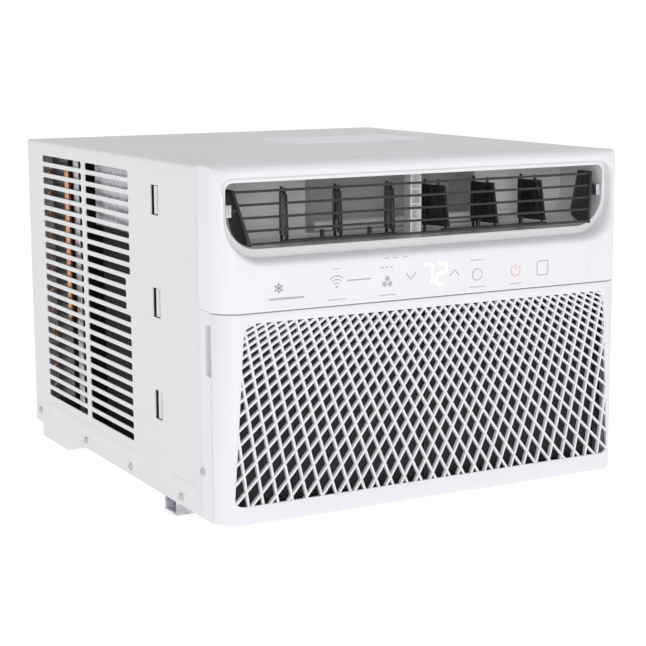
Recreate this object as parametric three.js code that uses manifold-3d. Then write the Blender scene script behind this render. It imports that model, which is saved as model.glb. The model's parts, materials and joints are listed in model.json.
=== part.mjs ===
// Window air conditioner, as an assembly of separate pieces.
// Millimetres, +Z up, +X to the right of someone facing the unit, +Y towards the outdoor side.
// Inside the unit group Y is counted back from the front face and Z up from the cabinet's underside;
// the unit group then stands the whole on the ground, centred on its footprint.

import * as THREE from "three";
import { mergeVertices } from "three/addons/utils/BufferGeometryUtils.js";
import Module from "manifold-3d";

const wasm = await Module();
wasm.setup();

// ---------------------------------------------------------------- driving sizes

// Cabinet
const width = 483;
const depth = 551;
const height = 351;
const standoff = 19; // ground to the cabinet's underside
const sheet = 1.2; // steel of the wrap and the base pan
const gap = 0.4; // between pieces that meet
const seam = 1.0; // round the grille, so that it can tip forward
const halfWidth = width / 2;
const wrapInner = halfWidth - sheet;

// Side louvres: two columns of horizontal slots
const slotHeight = 8;
const slotPitch = 13;
const lowestSlot = 44.7;
const highestSlot = height - 20.3;
const slotCount = Math.floor((highestSlot - lowestSlot) / slotPitch + 0.001) + 1;
const frontColumn = { from: depth - 325.7, to: depth - 195.2 };
const rearColumn = { from: depth - 184, to: depth - 52.3 };
const lanceLevels = [94.5, height - 148.5, height - 42]; // middle heights of the pressed lances
const lanceHeight = 31;
const lanceInset = 3; // how far each lance is pressed inward
const lanceY = { bend: 146, flat: 150, slit: 158, end: 164 };

// Base pan
const panInset = 2.9; // its sides stand this far inside the cabinet's sides
const panRim = 26;
const panHalf = halfWidth - panInset;
const sump = { slopeFrom: depth - 171, from: depth - 102, to: depth - 14 };
const bracket = { from: 127, to: 158, width: 30, inset: 6, sheet: 2 };
const screwPlaces = [
  [depth - 16.5, 15.1], [depth - 175.6, 9.6], [depth - 313.3, 9.6], [100, 9.2], [45.6, 47.9],
]; // y, z
const screwRadius = 2;

// Front bezel
const shell = 2.6; // wall of the moulded parts
const bezelDepth = 47.6;
const cornerRadius = 26;
const leanFrom = height - 46; // above this the face leans back
const leanBack = 16;
const topRadius = 7;
const mouth = {
  halfWidth: halfWidth - 13, bottom: height - 89.5, top: height - 12.5, topRadius: 9, bottomRadius: 38, depth: 18,
};
const overlay = { halfWidth: halfWidth - 46.5, bottom: height - 136.5, top: height - 94, thickness: 0.5 };
const display = { halfWidth: 30, bottom: height - 132, top: height - 104, thickness: 3 };
const board = { halfWidth: 150, bottom: height - 135, top: height - 93, thickness: 1.6 };
const airWay = { halfWidth: halfWidth - 25.5, bottom: 14, top: height - 147 };

// Intake grille
const grille = { top: height - 141.1, depth: 22.3, skin: 2.5 };
const lattice = {
  bottom: 19.2, top: grille.top - 9.3, bottomHalf: halfWidth - 14.3, topHalf: halfWidth - 26, cornerRadius: 10,
  topPitch: 45.4, lean: 39.5, leanStep: 6, // rib spacing along the top, degrees off vertical, degrees per rib
  ribWidth: 3, ribDepth: 8,
};
const hinge = { y: 6.5, z: 7.5, pinRadius: 1.8, clearance: 0.3, ear: 4, wall: 1.3, x: halfWidth - 51.5 };
const notch = { from: grille.depth + 0.3, to: 34, bottom: grille.top - 62.9, top: grille.top - 11.9, depth: 8 };

// Air filter
const filter = {
  halfWidth: halfWidth - 18.5, bottom: 12.6, top: grille.top - 5.3, front: 11.5, thickness: 6, rim: 8, mesh: 0.8,
};

// Louver frame, five bars between two cheeks, leaning back with the face
const louver = {
  pivotY: 24, pivotZ: height - 43, bars: 5, topBarY: 24.9, topBarZ: height - 25.7, barPitch: 12.4, barStepY: 3.45,
  topHalf: halfWidth - 29, inwardLean: 0.222, barHeight: 2.2, barDepth: 3.5, cheek: 3, cheekBack: 46, pinRadius: 2.5,
};
const clip = { width: 6, height: 12, depth: 9 };

// Vertical vanes
const vane = {
  places: [23.2, 84.2, 145.2], pivotY: 57, thickness: 2.2, bottom: height - 73, top: height - 30.5,
  back: 3.2, frontTop: 26.9, frontBottom: 33.5, restTurn: 17.6,
  pinRadius: 1.6, pinClearance: 0.4, studTop: height - 25, studReach: 18.6, linkReach: 29, linkPinRadius: 1.3,
};
const link = {
  bottom: height - 77.5, thickness: 2.5, width: 5, overhang: 5, posts: [-21, 33.5], postTop: height - 67.5,
};
const rail = { bottom: vane.top + 0.8, thickness: 2, depth: 8 };
const strut = { halfWidth: 6.5, y: 43, depth: 12, rail: 2 };

// Outlet duct and blower
const duct = {
  halfWidth: mouth.halfWidth - 3.5, bottom: mouth.bottom + 8.8, top: mouth.top - 3.5, from: mouth.depth + 2,
  to: 96, topRadius: 8, bottomRadius: 34, wall: 2.5, flange: 1.5,
};
const outlet = { left: -99, right: 110 }; // the scroll's opening into the duct
const scroll = { halfWidth: halfWidth - 41.5, bottom: 8, top: height - 7, from: 97, to: 228, wall: 11, chamber: 104, inlet: 70 };
const rotor = { x: -45, z: 165, shaftRadius: 6 };
const wheel = { radius: 92, from: 110, to: 212, wall: 3, hub: 16 };
const bulkhead = { y: 230, thickness: 1.2, bore: 24 };
const motor = { radius: 62, from: 250, to: 338, boss: 20, bossLength: 6 };
const motorStand = { halfWidth: 52, foot: 18, sheet: 2.5 };
const fan = { radius: 148, from: depth - 123, to: depth - 99, hub: 26, blades: 5, bladeThickness: 2.5, bladePitch: 28 };

// Refrigerant circuit
const evaporator = { halfWidth: halfWidth - 36.5, bottom: 10, top: height - 96, from: 52, to: 90 };
const condenser = { halfWidth: halfWidth - 13.5, bottom: 4, top: height - 15, from: depth - 53, to: depth - 17 };
const shroud = {
  from: depth - 111, to: depth - 57, orifice: 156, sheet: 1.5, halfWidth: halfWidth - 11.5, bottom: 3,
  top: height - 13,
};
const compressor = { x: halfWidth - 93.5, y: 335, radius: 58, bottom: 14, top: 238, foot: 80 };
const grommet = { radius: 9, hole: 5 };
const accumulator = { x: halfWidth - 31.5, y: 270, radius: 18, bottom: 92, top: 212 };
const tubeRadius = 4;
const capillaryRadius = 2;
const tubeStep = 16; // length of one straight stretch of a bent tube
const controlBox = {
  left: halfWidth - 145.5, right: halfWidth - 15.5, from: 246, to: 326, bottom: height - 89, top: height - 13,
};
const capacitor = { x: 61.5 - halfWidth, radius: 20, length: 70, z: height - 51 };
const tubeLane = { from: halfWidth - 35.5, middle: halfWidth - 19.5, to: halfWidth - 9.5 }; // right of the coils
const plug = { x: 120, z: -9, radius: 8, stem: 5 };
const gland = { y: 36, z: 24, radius: 8, bore: 4, proud: 1.9, length: 14 };

const segments = 24;

// ---------------------------------------------------------------- solids and shapes

function solid(geometry) {
  const bare = geometry.index ? geometry.toNonIndexed() : geometry.clone();
  bare.deleteAttribute("normal");
  bare.deleteAttribute("uv");
  const merged = mergeVertices(bare, 1e-4);
  return new wasm.Manifold(new wasm.Mesh({
    numProp: 3,
    vertProperties: new Float32Array(merged.attributes.position.array),
    triVerts: new Uint32Array(merged.index.array),
  }));
}

function geometryOf(manifold) {
  const mesh = manifold.getMesh();
  const positions = new Float32Array(mesh.numVert * 3);
  for (let i = 0; i < mesh.numVert; i++) {
    positions.set(mesh.vertProperties.subarray(i * mesh.numProp, i * mesh.numProp + 3), i * 3);
  }
  return new THREE.BufferGeometry()
    .setAttribute("position", new THREE.BufferAttribute(positions, 3))
    .setIndex(new THREE.BufferAttribute(new Uint32Array(mesh.triVerts), 1));
}

const join = (...pieces) => pieces.flat().reduce((sum, piece) => sum.add(piece));
const cut = (body, ...tools) => tools.flat().reduce((rest, tool) => rest.subtract(tool), body);

function box(x0, x1, y0, y1, z0, z1) {
  const geometry = new THREE.BoxGeometry(x1 - x0, y1 - y0, z1 - z0);
  geometry.translate((x0 + x1) / 2, (y0 + y1) / 2, (z0 + z1) / 2);
  return solid(geometry);
}

// A prism of a shape along one axis. Shapes along x are drawn in (y, z), along y in (x, z), along z in (x, y).
function prism(axis, shape, from, to, curveSegments = 6) {
  const geometry = new THREE.ExtrudeGeometry(shape, { depth: to - from, bevelEnabled: false, curveSegments });
  const turn = new THREE.Matrix4();
  if (axis === "x") turn.set(0, 0, 1, from, 1, 0, 0, 0, 0, 1, 0, 0, 0, 0, 0, 1);
  else if (axis === "y") turn.set(1, 0, 0, 0, 0, 0, -1, to, 0, 1, 0, 0, 0, 0, 0, 1);
  else turn.makeTranslation(0, 0, from);
  return solid(geometry.applyMatrix4(turn));
}

const polygon = (points) => new THREE.Shape(points.map(([u, v]) => new THREE.Vector2(u, v)));

function circle(u, v, radius) {
  const shape = new THREE.Shape();
  shape.absarc(u, v, radius, 0, Math.PI * 2, false);
  return shape;
}

// A cylinder along an axis, its centre given by the other two coordinates in prism order.
// An arc is drawn with two sides for each of its curve segments.
const rod = (axis, u, v, radius, from, to, around = segments) =>
  prism(axis, circle(u, v, radius), from, to, around / 2);

// A rectangle with its own corner radius at the bottom and at the top.
function roundedRect(u0, u1, v0, v1, bottomRadius, topRadius = bottomRadius) {
  const shape = new THREE.Shape();
  shape.moveTo(u0 + bottomRadius, v0);
  shape.lineTo(u1 - bottomRadius, v0);
  shape.absarc(u1 - bottomRadius, v0 + bottomRadius, bottomRadius, -Math.PI / 2, 0, false);
  shape.lineTo(u1, v1 - topRadius);
  shape.absarc(u1 - topRadius, v1 - topRadius, topRadius, 0, Math.PI / 2, false);
  shape.lineTo(u0 + topRadius, v1);
  shape.absarc(u0 + topRadius, v1 - topRadius, topRadius, Math.PI / 2, Math.PI, false);
  shape.lineTo(u0, v0 + bottomRadius);
  shape.absarc(u0 + bottomRadius, v0 + bottomRadius, bottomRadius, Math.PI, Math.PI * 1.5, false);
  return shape;
}

function lathe(points, x, y, z) {
  const geometry = new THREE.LatheGeometry(points.map(([r, h]) => new THREE.Vector2(r, h)), segments);
  geometry.rotateX(Math.PI / 2).translate(x, y, z);
  return solid(geometry);
}

function tube(points, radius) {
  const path = new THREE.CatmullRomCurve3(points.map((p) => new THREE.Vector3(...p)), false, "centripetal");
  const steps = Math.ceil(path.getLength() / tubeStep);
  return solid(new THREE.ExtrudeGeometry(circle(0, 0, radius), {
    steps, extrudePath: path, curveSegments: 4, bevelEnabled: false,
  }));
}

const mirrored = (piece) => piece.mirror([1, 0, 0]);
const bothSides = (piece) => [piece, mirrored(piece)];

// ---------------------------------------------------------------- finishes

const finishes = {
  steelWhite: { color: 0xdedfdf, metalness: 0.1, roughness: 0.45 },
  plasticWhite: { color: 0xe6e6ea, metalness: 0, roughness: 0.4 },
  plasticBlack: { color: 0x1b1b1d, metalness: 0, roughness: 0.45 },
  plasticGrey: { color: 0xa8a9ac, metalness: 0, roughness: 0.6 },
  foam: { color: 0xd8d8d6, metalness: 0, roughness: 0.9 },
  zinc: { color: 0xb8babd, metalness: 0.9, roughness: 0.35 },
  aluminium: { color: 0xb9bcc0, metalness: 0.85, roughness: 0.4 },
  copper: { color: 0xb87048, metalness: 0.9, roughness: 0.35 },
  enamelBlack: { color: 0x161719, metalness: 0.2, roughness: 0.4 },
  rubber: { color: 0x222222, metalness: 0, roughness: 0.85 },
  circuit: { color: 0x2f6b46, metalness: 0, roughness: 0.6 },
  meshGrey: { color: 0x55585c, metalness: 0, roughness: 0.8 },
};

const unit = new THREE.Group();
unit.position.set(0, -depth / 2, standoff);

function add(name, finish, manifold) {
  const mesh = new THREE.Mesh(geometryOf(manifold), new THREE.MeshStandardMaterial(finishes[finish]));
  mesh.name = name;
  unit.add(mesh);
}

// ---------------------------------------------------------------- cabinet

const screwHoles = (radius) =>
  screwPlaces.flatMap(([y, z]) => bothSides(rod("x", y, z, radius, halfWidth - 12, halfWidth + 5, 8)));

function cabinetWrap() {
  const from = bezelDepth + gap;
  const slots = [];
  for (let row = 0; row < slotCount; row++) {
    const z = lowestSlot + row * slotPitch - slotHeight / 2;
    for (const column of [frontColumn, rearColumn]) {
      slots.push(box(wrapInner - 1, halfWidth + 1, column.from, column.to, z, z + slotHeight));
    }
  }
  for (const level of lanceLevels) {
    slots.push(box(wrapInner - 1, halfWidth + 1, lanceY.bend, lanceY.end, level - lanceHeight / 2,
      level + lanceHeight / 2));
  }
  const flap = polygon([
    [halfWidth, lanceY.bend - 1], [halfWidth, lanceY.bend], [halfWidth - lanceInset, lanceY.flat],
    [halfWidth - lanceInset, lanceY.slit], [wrapInner - lanceInset, lanceY.slit],
    [wrapInner - lanceInset, lanceY.flat], [wrapInner, lanceY.bend], [wrapInner, lanceY.bend - 1],
  ]);
  const flaps = lanceLevels.map((level) => prism("z", flap, level - lanceHeight / 2 + gap,
    level + lanceHeight / 2 - gap));
  const wall = join(cut(box(wrapInner, halfWidth, from, depth, 0, height), slots), flaps);
  const top = box(-halfWidth, halfWidth, from, depth, height - sheet, height);
  const rearReturn = box(condenser.halfWidth + 3, halfWidth, depth - sheet, depth, 0, height);
  const rearTop = box(-halfWidth, halfWidth, depth - sheet, depth, condenser.top + 2, height);
  return cut(join(top, rearTop, bothSides(wall), bothSides(rearReturn)), screwHoles(screwRadius + gap));
}
add("cabinet_wrap", "steelWhite", cabinetWrap());

// The pan's run along Y, drawn at its underside and again one sheet higher.
function panProfile(lift) {
  const front = bezelDepth + gap + lift;
  const rear = depth - 2 * sheet - gap - lift;
  return polygon([
    [front, lift], [sump.slopeFrom - lift / 2, lift], [sump.from - lift / 2, lift - standoff],
    [sump.to - lift, lift - standoff], [sump.to - lift, lift], [rear, lift],
    [rear, panRim + lift], [front, panRim + lift],
  ]);
}

function basePan() {
  const outer = prism("x", panProfile(0), -panHalf, panHalf);
  const inner = prism("x", panProfile(sheet), -panHalf + sheet, panHalf - sheet);
  const drain = rod("y", plug.x, plug.z, plug.stem + gap, sump.to - 3, sump.to + 3, 12);
  return cut(outer, inner, screwHoles(screwRadius + gap), drain);
}
add("base_pan", "steelWhite", basePan());

function footBracket() {
  const outer = halfWidth - bracket.inset;
  const { from, to, sheet: plate } = bracket;
  const profile = polygon([
    [from, -standoff], [to, -standoff], [to, -gap], [to - plate, -gap],
    [to - plate, plate - standoff], [from + plate, plate - standoff], [from + plate, -gap], [from, -gap],
  ]);
  return prism("x", profile, outer - bracket.width, outer);
}
add("foot_bracket_right", "zinc", footBracket());
add("foot_bracket_left", "zinc", mirrored(footBracket()));

function screw(y, z) {
  return join(
    rod("x", y, z, screwRadius, halfWidth - 9, halfWidth + 1, 6),
    rod("x", y, z, screwRadius * 2, halfWidth + 0.3, halfWidth + 1.9, 6),
  );
}
screwPlaces.forEach(([y, z], i) => {
  add(`side_screw_right_${i + 1}`, "zinc", screw(y, z));
  add(`side_screw_left_${i + 1}`, "zinc", mirrored(screw(y, z)));
});

// ---------------------------------------------------------------- front bezel

function bezelSide(inset) {
  const back = bezelDepth + inset;
  const low = inset;
  const face = inset;
  const top = height - inset;
  const round = 3;
  const shape = new THREE.Shape();
  shape.moveTo(back, low);
  shape.lineTo(face + round, low);
  shape.quadraticCurveTo(face, low, face, low + round);
  shape.lineTo(face, leanFrom);
  shape.lineTo(face + leanBack - 2, top - topRadius);
  shape.quadraticCurveTo(face + leanBack, top, face + leanBack + topRadius, top);
  shape.lineTo(back, top);
  return shape;
}

// Plan outline with round front corners, open-ended to the rear.
function plan(inset, back) {
  const half = halfWidth - inset;
  const radius = cornerRadius - inset;
  const shape = new THREE.Shape();
  shape.moveTo(half, back);
  shape.lineTo(-half, back);
  shape.lineTo(-half, inset + radius);
  shape.absarc(-half + radius, inset + radius, radius, Math.PI, Math.PI * 1.5, false);
  shape.lineTo(half - radius, inset);
  shape.absarc(half - radius, inset + radius, radius, -Math.PI / 2, 0, false);
  return shape;
}

const bezelBody = (inset) => prism("x", bezelSide(inset), -halfWidth, halfWidth, 4)
  .intersect(prism("z", plan(inset, bezelDepth + inset), -1, height + 1));

const mouthShape = (grow) => roundedRect(-mouth.halfWidth - grow, mouth.halfWidth + grow,
  mouth.bottom - grow, mouth.top + grow, mouth.bottomRadius + grow, mouth.topRadius + grow);

const grilleLine = grille.depth + gap + 0.2; // the frame plate behind the grille starts here
const fasciaFoot = grille.top + seam;
const filterSlot = { from: filter.front - 1.2, to: filter.front + filter.thickness + 1.2 };

// The fascia: the upper part of the front, with the outlet's mouth
function bezel() {
  const outer = bezelBody(0);
  const sleeve = prism("y", mouthShape(shell), 0, mouth.depth).intersect(outer);
  const shelf = box(-halfWidth, halfWidth, 0.5, bezelDepth, fasciaFoot, fasciaFoot + shell).intersect(outer);
  const below = box(-halfWidth - 1, halfWidth + 1, -1, bezelDepth + shell + 1, -1, fasciaFoot);
  const slot = box(-filter.halfWidth - 2, filter.halfWidth + 2, filterSlot.from, filterSlot.to,
    grille.top, fasciaFoot + shell + 1);
  const airRoom = box(-airWay.halfWidth, airWay.halfWidth, grilleLine + shell, bezelDepth + 1,
    grille.top, fasciaFoot + shell + 1);
  const recess = box(-overlay.halfWidth - gap, overlay.halfWidth + gap, -1, overlay.thickness + 0.3,
    overlay.bottom - gap, overlay.top + gap);
  return cut(join(cut(outer, bezelBody(shell)), sleeve, shelf), prism("y", mouthShape(0), -1, mouth.depth + 1),
    below, slot, airRoom, recess);
}
add("front_bezel", "plasticWhite", bezel());

// The frame behind the grille, with the finger notches and the ears the grille tips on
function grilleFrame() {
  const outer = bezelBody(0);
  const top = fasciaFoot - gap;
  const room = box(-halfWidth - 1, halfWidth + 1, grilleLine, bezelDepth + shell + 1, -1, top);
  const rim = cut(outer, bezelBody(shell)).intersect(room);
  const plate = box(-halfWidth, halfWidth, grilleLine, grilleLine + shell, 0, top).intersect(outer);
  const window = box(-airWay.halfWidth, airWay.halfWidth, grilleLine - 1, grilleLine + shell + 1, airWay.bottom,
    airWay.top);
  const pocketWall = box(halfWidth - notch.depth - shell, halfWidth - 1, notch.from, notch.to + shell,
    notch.bottom - shell, notch.top + shell);
  const pocket = box(halfWidth - notch.depth, halfWidth + 1, notch.from - 1, notch.to, notch.bottom, notch.top);
  const ear = cut(
    join(rod("x", hinge.y, hinge.z, hinge.pinRadius + hinge.clearance + hinge.wall, hinge.x - hinge.ear / 2,
      hinge.x + hinge.ear / 2, 10),
    box(hinge.x - hinge.ear / 2, hinge.x + hinge.ear / 2, hinge.y, grilleLine + 1, hinge.z - 3.4, hinge.z + 3.4)),
    rod("x", hinge.y, hinge.z, hinge.pinRadius + hinge.clearance, hinge.x - 5, hinge.x + 5, 10),
  );
  const cable = rod("x", gland.y, gland.z, gland.radius - 2 + gap, halfWidth - 6, halfWidth + 1, 12);
  const body = cut(join(rim, plate, bothSides(pocketWall)), window, bothSides(pocket), cable);
  return cut(join(body, bothSides(ear)), screwHoles(screwRadius + gap));
}
add("grille_frame", "plasticWhite", grilleFrame());

add("control_overlay", "plasticWhite",
  box(-overlay.halfWidth, overlay.halfWidth, 0, overlay.thickness, overlay.bottom, overlay.top));

const displayFront = shell + 0.3;
const boardFront = displayFront + display.thickness + 0.3;
add("display_module", "plasticBlack", box(-display.halfWidth, display.halfWidth, displayFront,
  displayFront + display.thickness, display.bottom, display.top));
add("control_board", "circuit", box(-board.halfWidth, board.halfWidth, boardFront,
  boardFront + board.thickness, board.bottom, board.top));

// ---------------------------------------------------------------- intake grille

// The lattice field is a trapezoid with round corners, wider at its foot.
function fieldShape(grow) {
  const { bottom, top, bottomHalf, topHalf } = lattice;
  return roundedPolygon([
    [-bottomHalf - grow, bottom - grow], [bottomHalf + grow, bottom - grow],
    [topHalf + grow, top + grow], [-topHalf - grow, top + grow],
  ], lattice.cornerRadius);
}

function roundedPolygon(points, radius) {
  const shape = new THREE.Shape();
  points.forEach(([u, v], i) => {
    const before = points.at(i - 1);
    const after = points[(i + 1) % points.length];
    const step = ([a, b]) => {
      const length = Math.hypot(a - u, b - v);
      return [u + (a - u) * radius / length, v + (b - v) * radius / length];
    };
    if (i === 0) shape.moveTo(...step(before));
    else shape.lineTo(...step(before));
    shape.quadraticCurveTo(u, v, ...step(after));
  });
  shape.closePath();
  return shape;
}

// One family of ribs: they cross the field's top line at an even pitch and each leans a little less than the last.
function ribs(side) {
  const { topPitch, lean, leanStep, bottom, top, ribWidth, ribDepth } = lattice;
  const made = [];
  for (let n = -9; n <= 6; n++) {
    const angle = THREE.MathUtils.degToRad(lean - leanStep * n);
    if (angle <= 0 || angle > 1.3) continue;
    const length = (top - bottom) / Math.cos(angle) + 60;
    const rib = new THREE.BoxGeometry(ribWidth, ribDepth, length);
    rib.translate(0, ribDepth / 2 + 0.6, -length / 2 + 20).rotateY(side * angle);
    rib.translate(side * n * topPitch, 0, top);
    made.push(solid(rib));
  }
  return made;
}

function grillePanel() {
  const top = grille.top;
  const outer = prism("x", roundedRect(0, grille.depth, 0, top, 3, 1), -halfWidth, halfWidth, 3)
    .intersect(prism("z", plan(0, bezelDepth), -1, top + 1));
  const hollow = box(-halfWidth, halfWidth, grille.skin, grille.depth + 1, grille.skin, top - grille.skin)
    .intersect(prism("z", plan(shell, bezelDepth), 0, top));
  const openFoot = box(-halfWidth, halfWidth, 8, grille.depth + 1, -1, grille.skin + 1)
    .intersect(prism("z", plan(shell, bezelDepth), -2, top));
  const field = prism("y", fieldShape(0), -1, 20);
  const screen = join(ribs(1), ribs(-1)).intersect(prism("y", fieldShape(1), 0, 20));
  const filterRoof = box(-filter.halfWidth - 2, filter.halfWidth + 2, filterSlot.from, filterSlot.to, top - 4, top + 1);
  const earRoom = box(hinge.x - 5.6, hinge.x + 5.6, grille.skin, 30, -1, hinge.z + 5);
  const rail = join(
    box(filter.halfWidth + 0.8, filter.halfWidth + 3, grille.skin - 0.5, filterSlot.to + 2, 12, top - 12),
    box(filter.halfWidth - 4, filter.halfWidth + 3, filterSlot.to - 0.4, filterSlot.to + 2, 12, top - 12),
  );
  const ledge = box(filter.halfWidth - 30, filter.halfWidth, grille.skin - 0.5, filterSlot.to, filter.bottom - 2.4,
    filter.bottom - 0.4);
  const lug = join(
    box(hinge.x + 2.5, hinge.x + 5, grille.skin - 0.5, hinge.y + 3, hinge.z - 3.5, hinge.z + 3.5),
    box(hinge.x - 5, hinge.x - 2.5, grille.skin - 0.5, hinge.y + 3, hinge.z - 3.5, hinge.z + 3.5),
    rod("x", hinge.y, hinge.z, hinge.pinRadius, hinge.x - 3, hinge.x + 3, 8),
  );
  const reach = grilleLine - hinge.y - hinge.clearance; // the heel swings past the frame plate inside this radius
  const heelY = hinge.y + Math.sqrt(reach ** 2 - hinge.z ** 2);
  const heelZ = hinge.z - Math.sqrt(reach ** 2 - (grille.depth - hinge.y) ** 2);
  const heel = prism("x", polygon([
    [heelY, -1], [heelY, 0], [grille.depth, heelZ], [grille.depth + 1, heelZ], [grille.depth + 1, -1],
  ]), -halfWidth, halfWidth);
  const skin = cut(outer, hollow, openFoot, field, filterRoof, heel, bothSides(earRoom));
  return join(skin, screen, bothSides(rail), bothSides(ledge), bothSides(lug));
}
add("intake_grille", "plasticWhite", grillePanel());

function filterFrame() {
  const { halfWidth: half, bottom, top, rim, front, thickness } = filter;
  const window = box(rim / 2, half - rim, front - 1, front + thickness + 1, bottom + rim, top - rim);
  return cut(box(-half, half, front, front + thickness, bottom, top), bothSides(window));
}
add("filter_frame", "plasticGrey", filterFrame());

for (const [name, side] of [["left", -1], ["right", 1]]) {
  const middle = filter.front + filter.thickness / 2;
  const inner = filter.rim / 2 + gap;
  const outer = filter.halfWidth - filter.rim - gap;
  const [from, to] = side < 0 ? [-outer, -inner] : [inner, outer];
  add(`filter_mesh_${name}`, "meshGrey", box(from, to, middle - filter.mesh / 2, middle + filter.mesh / 2,
    filter.bottom + filter.rim + gap, filter.top - filter.rim - gap));
}

// ---------------------------------------------------------------- louver frame

function louverFrame() {
  const { bars, topBarY, topBarZ, barPitch, barStepY, topHalf, inwardLean, barHeight, barDepth } = louver;
  const pieces = [];
  for (let i = 0; i < bars; i++) {
    const y = topBarY - i * barStepY;
    const z = topBarZ - i * barPitch;
    const half = topHalf - i * barPitch * inwardLean + 1;
    pieces.push(box(-half, half, y, y + barDepth, z - barHeight / 2, z + barHeight / 2));
  }
  const footY = topBarY - (bars - 1) * barStepY;
  const footZ = topBarZ - (bars - 1) * barPitch;
  const back = louver.cheekBack;
  const side = new THREE.Shape();
  side.moveTo(footY - 0.6, footZ - 2);
  side.lineTo(footY + 14, footZ - 1.2);
  side.quadraticCurveTo(back - 2, footZ + 1, back, footZ + 12);
  side.lineTo(back, topBarZ + 2.5);
  side.lineTo(topBarY - 0.6, topBarZ + 2.5);
  const shear = new THREE.Matrix4().set(
    1, 0, inwardLean, -inwardLean * topBarZ, 0, 1, 0, 0, 0, 0, 1, 0, 0, 0, 0, 1);
  const cheekGeometry = geometryOf(prism("x", side, topHalf, topHalf + louver.cheek)).applyMatrix4(shear);
  const cheek = solid(cheekGeometry);
  const pinRoot = topHalf - (topBarZ - louver.pivotZ) * inwardLean + 1;
  const pin = rod("x", louver.pivotY, louver.pivotZ, louver.pinRadius, pinRoot, duct.halfWidth - clip.width + 3, 10);
  return join(pieces, bothSides(join(cheek, pin)));
}
add("louver_frame", "plasticBlack", louverFrame());

function pivotClip() {
  const from = duct.halfWidth - 0.8 - clip.width;
  const body = box(from, from + clip.width, louver.pivotY - clip.depth / 2, louver.pivotY + clip.depth / 2,
    louver.pivotZ - clip.height / 2, louver.pivotZ + clip.height / 2);
  return cut(body, rod("x", louver.pivotY, louver.pivotZ, louver.pinRadius + 0.4, from - 1, from + clip.width - 1.5, 10));
}
add("pivot_clip_right", "zinc", pivotClip());
add("pivot_clip_left", "zinc", mirrored(pivotClip()));

// ---------------------------------------------------------------- vertical vanes

// A vane drawn with its pivot at the origin and its blade along -Y, before its rest turn.
function vaneSolid() {
  const { thickness, bottom, top, back, frontTop, frontBottom, pinRadius, studTop, studReach, linkReach } = vane;
  const blade = polygon([[-frontBottom, bottom], [back, bottom], [back, top], [-frontTop, top]]);
  return join(
    prism("x", blade, -thickness / 2, thickness / 2),
    rod("z", 0, 0, pinRadius, duct.bottom - duct.wall - 1, studTop, 8),
    rod("z", 0, -studReach, pinRadius, top - 2, studTop, 8),
    rod("z", 0, -linkReach, vane.linkPinRadius, link.bottom - 0.8, bottom + 2, 8),
  );
}

const vaneNames = ["inner", "middle", "outer"];
for (const [name, side] of [["left", -1], ["right", 1]]) {
  const turn = side * vane.restTurn;
  vane.places.forEach((x, i) => {
    add(`vane_${name}_${vaneNames[i]}`, "plasticBlack",
      vaneSolid().rotate([0, 0, turn]).translate([side * x, vane.pivotY, 0]));
  });
}

// The link joins the three vanes of a group near their lower front corners.
function vaneLink(side) {
  const turn = THREE.MathUtils.degToRad(vane.restTurn);
  const y = vane.pivotY - vane.linkReach * Math.cos(turn);
  const shift = side * vane.linkReach * Math.sin(turn);
  const xs = vane.places.map((x) => side * x + shift);
  const top = link.bottom + link.thickness;
  const middle = xs[1];
  const bar = box(Math.min(...xs) - link.overhang, Math.max(...xs) + link.overhang,
    y - link.width / 2, y + link.width / 2, link.bottom, top);
  const posts = link.posts.map((offset) => box(middle + offset - 1.5, middle + offset + 1.5,
    y - link.width / 2, y + link.width / 2, top - 1, link.postTop));
  const holes = xs.map((x) => rod("z", x, y, vane.linkPinRadius + 0.3, link.bottom - 1, top + 1, 8));
  return cut(join(bar, posts), holes);
}
add("vane_link_left", "plasticBlack", vaneLink(-1));
add("vane_link_right", "plasticBlack", vaneLink(1));

function vaneRail() {
  const bar = box(-duct.halfWidth + gap, duct.halfWidth - gap, vane.pivotY - rail.depth / 2,
    vane.pivotY + rail.depth / 2, rail.bottom, rail.bottom + rail.thickness);
  const holes = vane.places.flatMap((x) => bothSides(
    rod("z", x, vane.pivotY, vane.pinRadius + vane.pinClearance, rail.bottom - 1, rail.bottom + 3, 8)));
  return cut(bar, holes);
}
add("vane_rail", "plasticGrey", vaneRail());

function outletStrut() {
  const { halfWidth: half, y, depth: deep, rail: bar } = strut;
  const low = duct.bottom + gap;
  const high = duct.top - gap;
  const column = box(-half, half, y - deep / 2, y + deep / 2, low, high);
  const windows = [];
  const rungs = 4;
  const pitch = (high - low - bar) / rungs;
  for (let i = 0; i < rungs; i++) {
    const z = low + bar + i * pitch;
    windows.push(box(-half + bar, half - bar, y - deep, y + deep / 2 - bar, z, z + pitch - bar));
  }
  return cut(column, windows);
}
add("outlet_strut", "plasticGrey", outletStrut());

// ---------------------------------------------------------------- outlet duct and blower

function outletDuct() {
  const { halfWidth: half, bottom, top, from, to, topRadius: high, bottomRadius: low, wall } = duct;
  const outside = roundedRect(-half - wall, half + wall, bottom - wall, top + wall, low + wall, high + wall);
  const inside = roundedRect(-half, half, bottom, top, low, high);
  const opening = box(outlet.left, outlet.right, to - wall - 1, to + 1, bottom + 2, top - 3);
  const pivots = vane.places.flatMap((x) => bothSides(
    rod("z", x, vane.pivotY, vane.pinRadius + vane.pinClearance, bottom - wall - 1, bottom + 1, 8)));
  const flange = prism("y", mouthShape(shell), from, from + duct.flange);
  return cut(join(prism("y", outside, from, to), flange), prism("y", inside, from - 1, to - wall), opening, pivots);
}
add("outlet_duct", "plasticGrey", outletDuct());

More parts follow.
